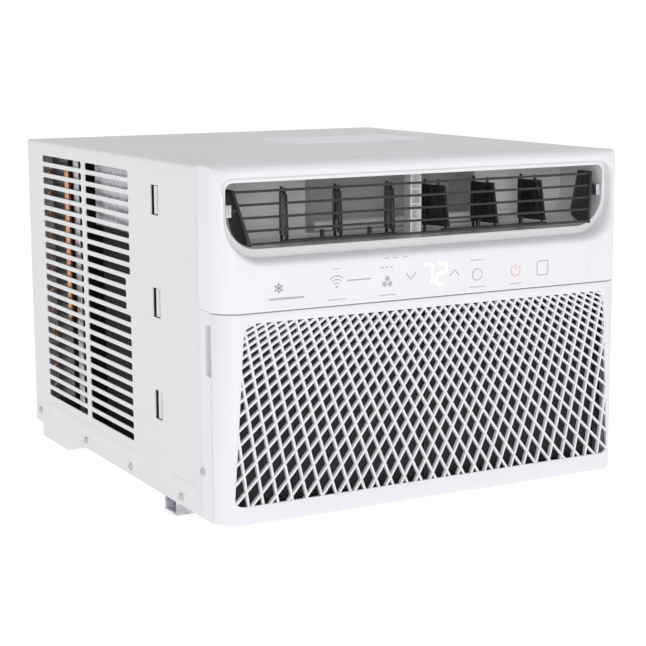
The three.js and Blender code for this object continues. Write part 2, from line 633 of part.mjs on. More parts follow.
function blowerScroll() {
  const { halfWidth: half, bottom, top, from, to, wall, chamber, inlet } = scroll;
  const block = box(-half, half, from, to, bottom, top);
  const room = rod("y", rotor.x, rotor.z, chamber, from + wall, to - wall);
  const riser = box(outlet.left, outlet.right, from + wall, to - wall, rotor.z, duct.top - 3);
  const toDuct = box(outlet.left, outlet.right, from - 1, from + wall + 1, duct.bottom + 2, duct.top - 3);
  const intake = rod("y", rotor.x, rotor.z, inlet, from - 1, from + wall + 1);
  const shaftWay = rod("y", rotor.x, rotor.z, bulkhead.bore, to - wall - 1, to + 1);
  return cut(block, room, riser, toDuct, intake, shaftWay);
}
add("blower_scroll", "foam", blowerScroll());

function blowerWheel() {
  const { radius, from, to, wall, hub } = wheel;
  const drum = cut(rod("y", rotor.x, rotor.z, radius, from, to), rod("y", rotor.x, rotor.z, radius - wall, from - 1, to - wall));
  const boss = rod("y", rotor.x, rotor.z, hub, to - 30, to);
  return cut(join(drum, boss), rod("y", rotor.x, rotor.z, rotor.shaftRadius + 0.3, from - 1, to + 1, 12));
}
add("blower_wheel", "plasticBlack", blowerWheel());

function condenserFan() {
  const { radius, from, to, hub, blades, bladeThickness, bladePitch } = fan;
  const deep = to - from;
  const pieces = [
    rod("y", 0, 0, hub, from, to),
    cut(rod("y", 0, 0, radius, to - 6, to), rod("y", 0, 0, radius - 3, to - 7, to + 1)),
  ];
  for (let i = 0; i < blades; i++) {
    const blade = new THREE.BoxGeometry(62, bladeThickness, radius - hub);
    blade.rotateZ(THREE.MathUtils.degToRad(-bladePitch)).translate(0, 0, (radius + hub) / 2 - 3);
    blade.rotateY(i * 2 * Math.PI / blades).translate(0, from + deep / 2, 0);
    pieces.push(solid(blade));
  }
  const swept = join(pieces).intersect(rod("y", 0, 0, radius, from - 4, to));
  return cut(swept, rod("y", 0, 0, rotor.shaftRadius + 0.3, from - 9, to + 9, 12)).translate([rotor.x, 0, rotor.z]);
}
add("condenser_fan", "plasticBlack", condenserFan());

add("fan_shaft", "zinc", rod("y", rotor.x, rotor.z, rotor.shaftRadius, wheel.from + 40, fan.to + 5, 12));

function bulkheadSheet() {
  const sheetBody = box(-wrapInner + 1, wrapInner - 1, bulkhead.y, bulkhead.y + bulkhead.thickness,
    sheet + gap, height - sheet - gap);
  const corners = bothSides(box(panHalf - sheet - gap, halfWidth, 0, depth, 0, panRim + gap));
  const bore = rod("y", rotor.x, rotor.z, bulkhead.bore, bulkhead.y - 1, bulkhead.y + 3);
  const tubeWay = box(tubeLane.from, tubeLane.to, bulkhead.y - 1, bulkhead.y + 3, 20, accumulator.top + 24);
  return cut(sheetBody, corners, bore, tubeWay);
}
add("bulkhead", "zinc", bulkheadSheet());

function motorBody() {
  const { radius, from, to, boss, bossLength } = motor;
  const can = join(
    rod("y", rotor.x, rotor.z, radius, from + bossLength, to - bossLength),
    rod("y", rotor.x, rotor.z, boss, from, to),
  );
  return cut(can, rod("y", rotor.x, rotor.z, rotor.shaftRadius + 0.4, from - 1, to + 1, 12));
}
add("fan_motor", "enamelBlack", motorBody());

function motorStandBody() {
  const { halfWidth: half, foot, sheet: plate } = motorStand;
  const low = sheet + gap;
  const y = motor.from + motor.bossLength + 8;
  const saddle = box(rotor.x - half, rotor.x + half, y, y + 60, low, rotor.z - 20);
  const hollow = box(rotor.x - half + plate, rotor.x + half - plate, y - 1, y + 61, low + plate, rotor.z);
  const flanges = box(rotor.x - half - foot, rotor.x + half + foot, y, y + 60, low, low + plate);
  return cut(join(saddle, flanges), hollow, rod("y", rotor.x, rotor.z, motor.radius + gap, y - 1, y + 61));
}
add("motor_stand", "zinc", motorStandBody());

// ---------------------------------------------------------------- refrigerant circuit

add("evaporator_coil", "aluminium", box(-evaporator.halfWidth, evaporator.halfWidth, evaporator.from,
  evaporator.to, evaporator.bottom, evaporator.top));

add("condenser_coil", "aluminium", box(-condenser.halfWidth, condenser.halfWidth, condenser.from,
  condenser.to, condenser.bottom, condenser.top));

function fanShroud() {
  const { from, to, orifice, sheet: plate, halfWidth: half, bottom, top } = shroud;
  const hood = cut(box(-half, half, from, to, bottom, top),
    box(-half + plate, half - plate, from + plate, to + 1, bottom + plate, top - plate));
  return cut(hood, rod("y", rotor.x, rotor.z, orifice, from - 1, from + plate + 1));
}
add("fan_shroud", "zinc", fanShroud());

const grommetPlaces = [0, 1, 2].map((i) => {
  const angle = THREE.MathUtils.degToRad(90 + i * 120);
  return [compressor.x + Math.cos(angle) * (compressor.foot - 8), compressor.y + Math.sin(angle) * (compressor.foot - 8)];
});

function compressorBody() {
  const { x, y, radius, bottom, top, foot } = compressor;
  const can = lathe([[0, 0], [radius - 8, 0], [radius, 10], [radius, top - bottom - 22],
    [radius - 14, top - bottom - 6], [18, top - bottom], [0, top - bottom]], x, y, bottom);
  const feet = prism("z", polygon([0, 1, 2].map((i) => {
    const angle = THREE.MathUtils.degToRad(90 + i * 120);
    return [x + Math.cos(angle) * (foot + 14), y + Math.sin(angle) * (foot + 14)];
  })), bottom + 2, bottom + 6);
  const holes = grommetPlaces.map(([gx, gy]) => rod("z", gx, gy, grommet.hole + gap, bottom, bottom + 8, 12));
  return cut(join(can, feet), holes);
}
add("compressor", "enamelBlack", compressorBody());

grommetPlaces.forEach(([x, y], i) => {
  const low = sheet + 0.3;
  const seat = compressor.bottom + 2 - gap;
  add(`compressor_grommet_${i + 1}`, "rubber", join(
    rod("z", x, y, grommet.radius, low, seat, 12),
    rod("z", x, y, grommet.hole, low, compressor.bottom + 10, 12),
  ));
});

add("accumulator", "enamelBlack", lathe([[0, 0], [8, 0], [accumulator.radius, 14],
  [accumulator.radius, accumulator.top - accumulator.bottom - 14], [8, accumulator.top - accumulator.bottom],
  [0, accumulator.top - accumulator.bottom]], accumulator.x, accumulator.y, accumulator.bottom));

// Each tube starts and ends one gap clear of what it serves.
const crown = compressor.top + gap;
add("discharge_tube", "copper", tube([
  [compressor.x + 10, compressor.y, crown], [compressor.x + 10, compressor.y, crown + 8],
  [compressor.x + 24, compressor.y + 50, crown + 10], [compressor.x + 44, compressor.y + 82, crown - 40],
  [compressor.x + 50, shroud.from - 14, 60], [compressor.x + 46, shroud.from - 12, 34],
], tubeRadius));
add("suction_tube", "copper", tube([
  [evaporator.halfWidth + gap, 70, 200], [evaporator.halfWidth + 9, 70, 200], [tubeLane.middle - 1, 80, 202],
  [tubeLane.middle, 120, 204], [tubeLane.middle, 220, 206], [tubeLane.middle - 2, 250, 218], [accumulator.x, accumulator.y, accumulator.top + 16],
  [accumulator.x, accumulator.y, accumulator.top + gap],
], tubeRadius));
add("capillary_tube", "copper", tube([
  [evaporator.halfWidth + gap, 62, 40], [evaporator.halfWidth + 8, 62, 40], [tubeLane.middle - 1, 72, 42],
  [tubeLane.middle, 120, 46], [tubeLane.middle, 240, 50], [tubeLane.middle + 4, 330, 60],
  [tubeLane.middle + 4, shroud.from - 30, 56], [tubeLane.middle, shroud.from - 8, 40],
], capillaryRadius));

add("control_box", "zinc", box(controlBox.left, controlBox.right, controlBox.from, controlBox.to,
  controlBox.bottom, controlBox.top));
add("run_capacitor", "aluminium", rod("y", capacitor.x, capacitor.z, capacitor.radius,
  bulkhead.y + bulkhead.thickness + gap, bulkhead.y + bulkhead.thickness + gap + capacitor.length));

add("drain_plug", "rubber", join(
  rod("y", plug.x, plug.z, plug.stem, sump.to - 5, sump.to + 4, 12),
  rod("y", plug.x, plug.z, plug.radius, sump.to + gap, sump.to + 4, 12),
));

add("cord_gland", "rubber", cut(
  join(
    rod("x", gland.y, gland.z, gland.radius - 2, halfWidth - gland.length, halfWidth + 1, 12),
    rod("x", gland.y, gland.z, gland.radius, halfWidth + gap, halfWidth + gland.proud, 12),
  ),
  rod("x", gland.y, gland.z, gland.bore, halfWidth - gland.length - 1, halfWidth + gland.proud + 1, 12),
));

const group = new THREE.Group();
group.add(unit);

export default group;
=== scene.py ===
import json
import math

import bmesh
import bpy
from mathutils import Matrix, Vector


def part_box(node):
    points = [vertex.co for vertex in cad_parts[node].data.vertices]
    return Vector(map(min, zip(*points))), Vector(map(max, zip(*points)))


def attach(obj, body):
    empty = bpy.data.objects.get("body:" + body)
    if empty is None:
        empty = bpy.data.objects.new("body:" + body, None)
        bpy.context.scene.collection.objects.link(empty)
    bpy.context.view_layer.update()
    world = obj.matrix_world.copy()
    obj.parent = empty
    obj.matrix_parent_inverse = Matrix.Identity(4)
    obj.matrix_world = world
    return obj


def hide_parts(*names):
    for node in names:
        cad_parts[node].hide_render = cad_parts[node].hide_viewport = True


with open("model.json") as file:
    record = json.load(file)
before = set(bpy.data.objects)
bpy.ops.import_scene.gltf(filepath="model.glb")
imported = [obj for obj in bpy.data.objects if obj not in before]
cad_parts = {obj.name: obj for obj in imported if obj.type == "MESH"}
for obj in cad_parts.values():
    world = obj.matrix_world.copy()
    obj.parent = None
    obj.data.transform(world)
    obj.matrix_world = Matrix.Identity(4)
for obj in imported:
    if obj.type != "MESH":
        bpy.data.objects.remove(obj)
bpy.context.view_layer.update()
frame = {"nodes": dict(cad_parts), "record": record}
scene = bpy.context.scene
print("frame loaded:", len(frame["nodes"]), "nodes")

# Pieces are drawn in millimetres: x from the middle, y back from the front face,
# z up from the cabinet's underside
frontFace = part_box("intake_grille")[0].y
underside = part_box("cabinet_wrap")[0].z
toFrame = Matrix.Translation((0, frontFace, underside)) @ Matrix.Scale(0.001, 4)


def inUnit(node):
    low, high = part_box(node)
    return [(corner - Vector((0, frontFace, underside))) * 1000 for corner in (low, high)]


wrapLow, wrapHigh = inUnit("cabinet_wrap")
grilleLow, grilleHigh = inUnit("intake_grille")
bezelHigh = inUnit("front_bezel")[1]
halfWidth = grilleHigh.x


# Camera and light

viewpoint = dict(place=(-0.8952, -1.6864, 0.4914), yaw=28.487, pitch=-9.81, roll=-0.307, lens=92.2)
softboxes = [
    dict(name="frontSoftbox", place=(-1.3, -3.2, 0.75), size=1.6, watts=21),
    dict(name="fillSoftbox", place=(2.4, -2.4, 1.0), size=2.0, watts=3),
]
room = dict(horizon=(1.0, 1.0, 1.0), overhead=(0.69, 0.695, 0.705), strength=1.0, fade=(0.03, 0.3),
            aim=(0, 0, 0.18))


def makeCamera():
    data = bpy.data.cameras.new("camera")
    data.lens = viewpoint["lens"]
    data.sensor_width = 36
    data.clip_end = 40
    camera = bpy.data.objects.new("camera", data)
    turn = (Matrix.Rotation(math.radians(-viewpoint["yaw"]), 4, "Z")
            @ Matrix.Rotation(math.radians(90 + viewpoint["pitch"]), 4, "X")
            @ Matrix.Rotation(math.radians(viewpoint["roll"]), 4, "Z"))
    camera.matrix_world = Matrix.Translation(viewpoint["place"]) @ turn
    scene.collection.objects.link(camera)
    scene.camera = camera


def makeLights():
    for box in softboxes:
        data = bpy.data.lights.new(box["name"], "AREA")
        data.size = box["size"]
        data.energy = box["watts"]
        light = bpy.data.objects.new(box["name"], data)
        aim = Vector(room["aim"]) - Vector(box["place"])
        turn = aim.to_track_quat("-Z", "Y").to_matrix().to_4x4()
        light.matrix_world = Matrix.Translation(box["place"]) @ turn
        scene.collection.objects.link(light)
    world = bpy.data.worlds.new("studio")
    world.use_nodes = True
    tree = world.node_tree
    backdrop = tree.nodes["Background"]
    backdrop.inputs["Strength"].default_value = room["strength"]
    way = tree.nodes.new("ShaderNodeTexCoord")
    split = tree.nodes.new("ShaderNodeSeparateXYZ")
    fade = tree.nodes.new("ShaderNodeMapRange")
    tint = tree.nodes.new("ShaderNodeMix")
    tint.data_type = "RGBA"
    fade.inputs["From Min"].default_value, fade.inputs["From Max"].default_value = room["fade"]
    tint.inputs[6].default_value = (*room["horizon"], 1)
    tint.inputs[7].default_value = (*room["overhead"], 1)
    tree.links.new(way.outputs["Generated"], split.inputs[0])
    tree.links.new(split.outputs["Z"], fade.inputs["Value"])
    tree.links.new(fade.outputs["Result"], tint.inputs[0])
    tree.links.new(tint.outputs[2], backdrop.inputs["Color"])
    scene.world = world
    scene.view_settings.view_transform = "Standard"


makeCamera()
makeLights()
print("camera and lights placed")


# Finishes

class Signal:
    # An output socket that takes part in arithmetic
    def __init__(self, finish, socket):
        self.finish, self.socket = finish, socket

    def math(self, operation, *values):
        return self.finish.node("ShaderNodeMath", dict(operation=operation), values)

    def __add__(self, other):
        return self.math("ADD", self, other)

    def __radd__(self, other):
        return self.math("ADD", other, self)

    def __sub__(self, other):
        return self.math("SUBTRACT", self, other)

    def __rsub__(self, other):
        return self.math("SUBTRACT", other, self)

    def __mul__(self, other):
        return self.math("MULTIPLY", self, other)

    def __rmul__(self, other):
        return self.math("MULTIPLY", other, self)


class Finish:
    # A material on the Principled shader, with one method that adds any other node
    def __init__(self, name, color, roughness, **settings):
        self.material = bpy.data.materials.new(name)
        self.material.use_nodes = True
        self.tree = self.material.node_tree
        self.shader = self.tree.nodes["Principled BSDF"]
        self.place = self.node("ShaderNodeTexCoord", output="Object")
        self.surface(**{"Base Color": (*color, 1), "Roughness": roughness, **settings})

    def node(self, kind, settings=None, inputs=(), output=0):
        made = self.tree.nodes.new(kind)
        for key, value in (settings or {}).items():
            setattr(made, key, value)
        for key, value in (inputs.items() if isinstance(inputs, dict) else enumerate(inputs)):
            self.feed(made.inputs[key], value)
        return Signal(self, made.outputs[output])

    def feed(self, socket, value):
        if isinstance(value, Signal):
            self.tree.links.new(value.socket, socket)
        else:
            socket.default_value = value

    def surface(self, **inputs):
        for key, value in inputs.items():
            self.feed(self.shader.inputs[key], value)

    def noise(self, scale, detail=2, place=None):
        return self.node("ShaderNodeTexNoise", None,
                         {"Vector": place or self.place, "Scale": scale, "Detail": detail})

    def mix(self, share, low, high):
        return self.node("ShaderNodeMix", dict(data_type="RGBA"),
                         {0: share, 6: (*low, 1), 7: (*high, 1)}, output=2)

    def stretched(self, x, y, z):
        return self.node("ShaderNodeMapping", None, {"Vector": self.place, "Scale": (x, y, z)})

    def along(self, axis):
        return self.node("ShaderNodeSeparateXYZ", None, [self.place], output=axis)

    def bump(self, height, depth, strength=1.0):
        self.surface(Normal=self.node("ShaderNodeBump", None,
                                      {"Height": height, "Distance": depth, "Strength": strength}))


def powderCoat():
    finish = Finish("powderCoat", (0.74, 0.745, 0.75), 0.42)
    peel = finish.noise(700, 1)
    drift = finish.noise(9, 3)
    finish.surface(**{"Base Color": finish.mix(drift, (0.715, 0.72, 0.725), (0.765, 0.77, 0.775)),
                      "Roughness": 0.36 + drift * 0.14})
    finish.bump(peel, 0.00012, 0.35)
    return finish.material


def mouldedPlastic(name, dark, light, roughness, grain=1400, depth=0.00005):
    finish = Finish(name, light, roughness)
    drift = finish.noise(14, 3)
    finish.surface(**{"Base Color": finish.mix(drift, dark, light),
                      "Roughness": roughness - 0.05 + drift * 0.1})
    finish.bump(finish.noise(grain, 2), depth, 0.3)
    return finish.material


def netAndPaintedShade():
    # Opaque dark net: its colour is partly the mesh's own black and partly painted shade for the shadowed
    # coil seen through its holes
    finish = Finish("netAndPaintedShade", (0.05, 0.055, 0.06), 0.75)
    across, up = [finish.node("ShaderNodeTexWave",
                              dict(wave_type="BANDS", bands_direction=way, wave_profile="SIN"),
                              {"Vector": finish.place, "Scale": 260}, output=1) for way in "XZ"]
    weave = across.math("MAXIMUM", across, up)
    finish.surface(**{"Base Color": finish.mix(weave, (0.006, 0.006, 0.007), (0.030, 0.031, 0.034))})
    finish.bump(weave, 0.0003, 0.8)
    return finish.material


def galvanised():
    finish = Finish("galvanised", (0.55, 0.56, 0.58), 0.36, Metallic=0.9)
    spangle = finish.node("ShaderNodeTexVoronoi", None,
                          {"Vector": finish.place, "Scale": 160}, output="Color")
    tone = finish.node("ShaderNodeSeparateColor", None, [spangle])
    finish.surface(**{"Base Color": finish.mix(tone, (0.46, 0.47, 0.49), (0.68, 0.69, 0.71)),
                      "Roughness": 0.28 + tone * 0.2})
    finish.bump(finish.noise(500), 0.00008, 0.25)
    return finish.material


def finStock():
    finish = Finish("finStock", (0.56, 0.57, 0.59), 0.42, Metallic=0.85)
    streak = finish.noise(1.0, 3, finish.stretched(240, 30, 12))
    finish.surface(**{"Base Color": finish.mix(streak, (0.42, 0.43, 0.45), (0.68, 0.69, 0.71))})
    finish.bump(streak, 0.0002, 0.4)
    return finish.material


def drawnCopper():
    finish = Finish("drawnCopper", (0.72, 0.33, 0.18), 0.32, Metallic=0.95)
    stain = finish.noise(60, 4)
    finish.surface(**{"Base Color": finish.mix(stain, (0.42, 0.16, 0.08), (0.85, 0.45, 0.27)),
                      "Roughness": 0.24 + stain * 0.25})
    finish.bump(finish.noise(900), 0.00005, 0.3)
    return finish.material


def enamel():
    finish = Finish("enamel", (0.015, 0.015, 0.017), 0.3)
    drift = finish.noise(30, 3)
    finish.surface(**{"Base Color": finish.mix(drift, (0.010, 0.010, 0.011), (0.024, 0.024, 0.027)),
                      "Roughness": 0.22 + drift * 0.2})
    finish.bump(finish.noise(450), 0.0002, 0.3)
    return finish.material


def beadFoam():
    finish = Finish("beadFoam", (0.72, 0.72, 0.71), 0.9)
    beads = finish.node("ShaderNodeTexVoronoi", None, {"Vector": finish.place, "Scale": 230})
    finish.surface(**{"Base Color": finish.mix(beads, (0.78, 0.78, 0.77), (0.60, 0.60, 0.59))})
    finish.bump(1 - beads, 0.0006, 0.6)
    return finish.material


def glowing():
    finish = Finish("glowing", (0.9, 0.92, 0.95), 0.4)
    spread = finish.noise(300, 1)
    finish.surface(**{"Emission Color": finish.mix(spread, (0.92, 0.95, 1.0), (1.0, 1.0, 1.0)),
                      "Emission Strength": 1.0})
    return finish.material


def ink(name, dark, light):
    finish = Finish(name, light, 0.5)
    finish.surface(**{"Base Color": finish.mix(finish.noise(400, 2), dark, light)})
    return finish.material


def labelFilm():
    finish = Finish("labelFilm", (0.66, 0.62, 0.72), 0.22)
    sheen = finish.noise(1.0, 2, finish.stretched(9, 14, 1))
    finish.surface(**{"Base Color": finish.mix(sheen, (0.60, 0.58, 0.68), (0.72, 0.66, 0.74)),
                      "Roughness": 0.16 + sheen * 0.14})
    return finish.material


finishes = dict(
    steel_white=powderCoat(),
    plastic_white=mouldedPlastic("whitePlastic", (0.765, 0.765, 0.79), (0.80, 0.80, 0.825), 0.38),
    plastic_black=mouldedPlastic("blackPlastic", (0.011, 0.011, 0.012), (0.020, 0.020, 0.021),
                                 0.34, 900, 0.0001),
    plastic_grey=mouldedPlastic("greyPlastic", (0.40, 0.40, 0.415), (0.46, 0.46, 0.475), 0.5),
    duct=mouldedPlastic("ductPlastic", (0.74, 0.74, 0.75), (0.80, 0.80, 0.81), 0.3),
    vane=mouldedPlastic("vanePlastic", (0.010, 0.010, 0.011), (0.018, 0.018, 0.019), 0.12, 900, 0.00004),
    filter_mesh=netAndPaintedShade(),
    display=mouldedPlastic("displayLens", (0.015, 0.015, 0.017), (0.024, 0.024, 0.027), 0.15),
    circuit=mouldedPlastic("solderMask", (0.02, 0.11, 0.05), (0.04, 0.17, 0.08), 0.4, 500, 0.0002),
    foam=beadFoam(),
    zinc=galvanised(),
    aluminium=finStock(),
    copper=drawnCopper(),
    enamel_black=enamel(),
    rubber=mouldedPlastic("rubberBlack", (0.015, 0.015, 0.015), (0.028, 0.028, 0.028), 0.8, 700, 0.0002),
)
printGrey = ink("printGrey", (0.40, 0.40, 0.41), (0.48, 0.48, 0.49))
printRed = ink("printRed", (0.72, 0.36, 0.34), (0.80, 0.45, 0.42))
digitGlow = glowing()
film = labelFilm()
print("finishes made:", len(bpy.data.materials))


# Mesh tools

def cuboid(x0, x1, y0, y1, z0, z1):
    bm = bmesh.new()
    bmesh.ops.create_cube(bm, size=1)
    bmesh.ops.scale(bm, vec=(x1 - x0, y1 - y0, z1 - z0), verts=bm.verts)
    bmesh.ops.translate(bm, vec=((x0 + x1) / 2, (y0 + y1) / 2, (z0 + z1) / 2), verts=bm.verts)
    return bm


def rounded(bm, width, segments=2, chosen=lambda edge: True):
    bmesh.ops.bevel(bm, geom=[e for e in bm.edges if chosen(e)], offset=width, segments=segments,
                    affect="EDGES", profile=0.5, material=-1, clamp_overlap=True)
    return bm


def runsAlong(axis):
    def chosen(edge):
        way = edge.verts[1].co - edge.verts[0].co
        return abs(way[axis]) > 0.99 * way.length
    return chosen


def middle(edge):
    return (edge.verts[0].co + edge.verts[1].co) / 2


def sharp(edge, least=30):
    return len(edge.link_faces) == 2 and edge.calc_face_angle(0) > math.radians(least)


def farthest(edge, axis, pick=max):
    return pick(corner.co[axis] for corner in edge.verts)


def cornersIn(geometry):
    return [g for g in geometry if isinstance(g, bmesh.types.BMVert)]


def together(*parts):
    whole = bmesh.new()
    for part in parts:
        mesh = bpy.data.meshes.new("part")
        part.to_mesh(mesh)
        part.free()
        whole.from_mesh(mesh)
        bpy.data.meshes.remove(mesh)
    return whole


def carved(body, tool, operation="DIFFERENCE"):
    pair = []
    for bm in (body, tool):
        bmesh.ops.recalc_face_normals(bm, faces=bm.faces)
        mesh = bpy.data.meshes.new("solid")
        bm.to_mesh(mesh)
        bm.free()
        pair.append(bpy.data.objects.new("solid", mesh))
        scene.collection.objects.link(pair[-1])
    modifier = pair[0].modifiers.new("carve", "BOOLEAN")
    modifier.operation, modifier.object, modifier.solver = operation, pair[1], "EXACT"
    result = bmesh.new()
    result.from_object(pair[0], bpy.context.evaluated_depsgraph_get())
    for solid in pair:
        bpy.data.meshes.remove(solid.data)
    return result


def mirroredToo(bm):
    copy = bmesh.ops.duplicate(bm, geom=bm.verts[:] + bm.edges[:] + bm.faces[:])["geom"]
    faces = [g for g in copy if isinstance(g, bmesh.types.BMFace)]
    bmesh.ops.scale(bm, vec=(-1, 1, 1), verts=cornersIn(copy))
    bmesh.ops.reverse_faces(bm, faces=faces)
    return bm


# Axis order of a flat outline: across x it is drawn in (y, z), across y in (x, z), across z in (x, y)
standing = {
    "x": Matrix(((0, 0, 1, 0), (1, 0, 0, 0), (0, 1, 0, 0), (0, 0, 0, 1))),
    "y": Matrix(((1, 0, 0, 0), (0, 0, -1, 0), (0, 1, 0, 0), (0, 0, 0, 1))),
    "z": Matrix.Identity(4),
}


def plate(axis, loops, low, high):
    bm = bmesh.new()
    for loop in loops:
        corners = [bm.verts.new((u, v, 0)) for u, v in loop]
        for first, second in zip(corners, corners[1:] + corners[:1]):
            bm.edges.new((first, second))
    bmesh.ops.triangle_fill(bm, use_beauty=True, use_dissolve=False, edges=bm.edges[:], normal=(0, 0, 1))
    bmesh.ops.dissolve_limit(bm, angle_limit=0.01, verts=[], edges=bm.edges[:])
    raised = bmesh.ops.extrude_face_region(bm, geom=bm.faces[:])["geom"]
    way = -1 if axis == "y" else 1
    start = -low if axis == "y" else low
    bmesh.ops.translate(bm, vec=(0, 0, way * (high - low)), verts=cornersIn(raised))
    bmesh.ops.translate(bm, vec=(0, 0, start), verts=bm.verts)
    bmesh.ops.transform(bm, matrix=standing[axis], verts=bm.verts)
    bmesh.ops.recalc_face_normals(bm, faces=bm.faces)
    return bm


def arc(u, v, radius, start, stop, steps):
    turns = [math.radians(start + (stop - start) * i / steps) for i in range(steps + 1)]
    return [(u + radius * math.cos(turn), v + radius * math.sin(turn)) for turn in turns]


def bent(start, corner, stop, steps):
    # Points on a curve from start to stop that is drawn towards the corner
    shares = [i / steps for i in range(steps + 1)]
    return [tuple(start * (1 - t) ** 2 + corner * 2 * t * (1 - t) + stop * t ** 2) for t in shares]


def roundRect(u0, u1, v0, v1, low, high=None, steps=8):
    high = low if high is None else high
    return (arc(u1 - low, v0 + low, low, -90, 0, steps) + arc(u1 - high, v1 - high, high, 0, 90, steps)
            + arc(u0 + high, v1 - high, high, 90, 180, steps) + arc(u0 + low, v0 + low, low, 180, 270, steps))


def rod(axis, u, v, radius, low, high, around=32):
    return plate(axis, [arc(u, v, radius, 0, 360 - 360 / around, around - 1)], low, high)


def loft(rings):
    bm = bmesh.new()
    rows = [[bm.verts.new(point) for point in ring] for ring in rings]
    for low, high in zip(rows, rows[1:]):
        for i in range(len(low)):
            bm.faces.new((low[i - 1], low[i], high[i], high[i - 1]))
    bm.faces.new(rows[0])
    bm.faces.new(rows[-1])
    bmesh.ops.recalc_face_normals(bm, faces=bm.faces)
    return bm


def tube(path, radius, around=14):
    # Round rod along a path whose corners are first softened
    points = [Vector(p) for p in path]
    for _ in range(2):
        cutPoints = [points[0]]
        for a, b in zip(points, points[1:]):
            cutPoints += [a.lerp(b, 0.25), a.lerp(b, 0.75)]
        points = cutPoints + [points[-1]]
    rings = []
    side = None
    for i, point in enumerate(points):
        way = (points[min(i + 1, len(points) - 1)] - points[max(i - 1, 0)]).normalized()
        side = way.orthogonal().normalized() if side is None else (side - way * side.dot(way)).normalized()
        other = way.cross(side)
        rings.append([point + radius * (side * math.cos(turn) + other * math.sin(turn))
                      for turn in (2 * math.pi * k / around for k in range(around))])
    return loft(rings)


def copied(*nodes):
    # Copies of carried-over meshes in millimetres, with their flat faces merged
    whole = bmesh.new()
    for node in nodes:
        whole.from_mesh(frame["nodes"][node].data)
    bmesh.ops.transform(whole, matrix=toFrame.inverted(), verts=whole.verts)
    bmesh.ops.remove_doubles(whole, verts=whole.verts, dist=0.001)
    bmesh.ops.dissolve_limit(whole, angle_limit=0.01, verts=whole.verts[:], edges=whole.edges[:])
    return whole


def softened(name, nodes, width, body, slot, segments=2, least=40, finish=None):
    bm = copied(*nodes)
    rounded(bm, width, segments, lambda e: sharp(e, least))
    return place(name, bm, finish or finishes[slot], body, slot, nodes)


def place(name, bm, finish, body, slot, stands=(), smooth=32):
    bmesh.ops.remove_doubles(bm, verts=bm.verts, dist=0.0005)
    bmesh.ops.transform(bm, matrix=toFrame, verts=bm.verts)
    mesh = bpy.data.meshes.new(name)
    bm.to_mesh(mesh)
    bm.free()
    mesh.materials.append(finish)
    mesh.shade_smooth()
    mesh.set_sharp_from_angle(angle=math.radians(smooth))
    piece = bpy.data.objects.new(name, mesh)
    scene.collection.objects.link(piece)
    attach(piece, body)
    if stands:
        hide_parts(*stands)
    return piece


# Steel cabinet

steel = dict(sheet=1.2, bend=3, flange=10.5, rearTop=13,
             slotHeight=8, slotPitch=13, slotRows=23, lowestSlot=44.7, slotEnd=3.2,
             frontSlots=(225.3, 355.8), rearSlots=(367, 498.7), shortRows=(11, 12, 13), shortFrom=238,
             lanceLevels=(94.5, 202.5, 309), lanceHeight=31, lance=(146, 150, 158, 164),
             lanceInset=1.4, lanceGap=0.9,
             ribs=[(194, 503, 17, 33), (58, 122, 17, 31)], ribRise=0.9, ribSlope=4.5,
             dimples=[(199, 333), (523, 335), (224, 198)], dimple=(4.5, 0.7),
             panels=[(-218, -106, 299, 442), (30, 200, 425, 470)], panelDepth=0.7, panelSlope=3,
             lines=[(239.4, 240.6, 0.5), (47, 69, 0.5)], label=(-7, 177, 282, 401), labelSink=0.1,
             labelMargin=0.3, labelRise=(0.08, 0.01),
             holes=[(0, 435), (153, 435), (42, 293), (0, 258), (154, 258), (-80, 156), (78, 156)],
             holeRadius=2.2, past=5)


def raisedOnSide(loops, rise, outward):
    # Rings drawn in (y, z), climbing outward from inside the sheet
    steps = [(loops[0], -0.5)] + [(loop, rise * share) for loop, share in zip(loops, outward)]
    return loft([[(halfWidth + lift, y, z) for y, z in loop] for loop, lift in steps])


def sideRelief():
    s = steel
    made = []
    for y0, y1, z0, z1 in s["ribs"]:
        loops = [roundRect(y0 + t * s["ribSlope"], y1 - t * s["ribSlope"], z0 + t * s["ribSlope"],
                           z1 - t * s["ribSlope"], 6 - 4.2 * t, steps=6) for t in (0, 0.3, 0.7, 1)]
        made.append(raisedOnSide(loops, s["ribRise"], (0, 0.15, 0.85, 1)))
    radius, rise = s["dimple"]
    for y, z in s["dimples"]:
        loops = [arc(y, z, radius * t, 0, 345, 23) for t in (1, 0.75, 0.4, 0.1)]
        made.append(raisedOnSide(loops, rise, (0, 0.45, 0.88, 1)))
    return made


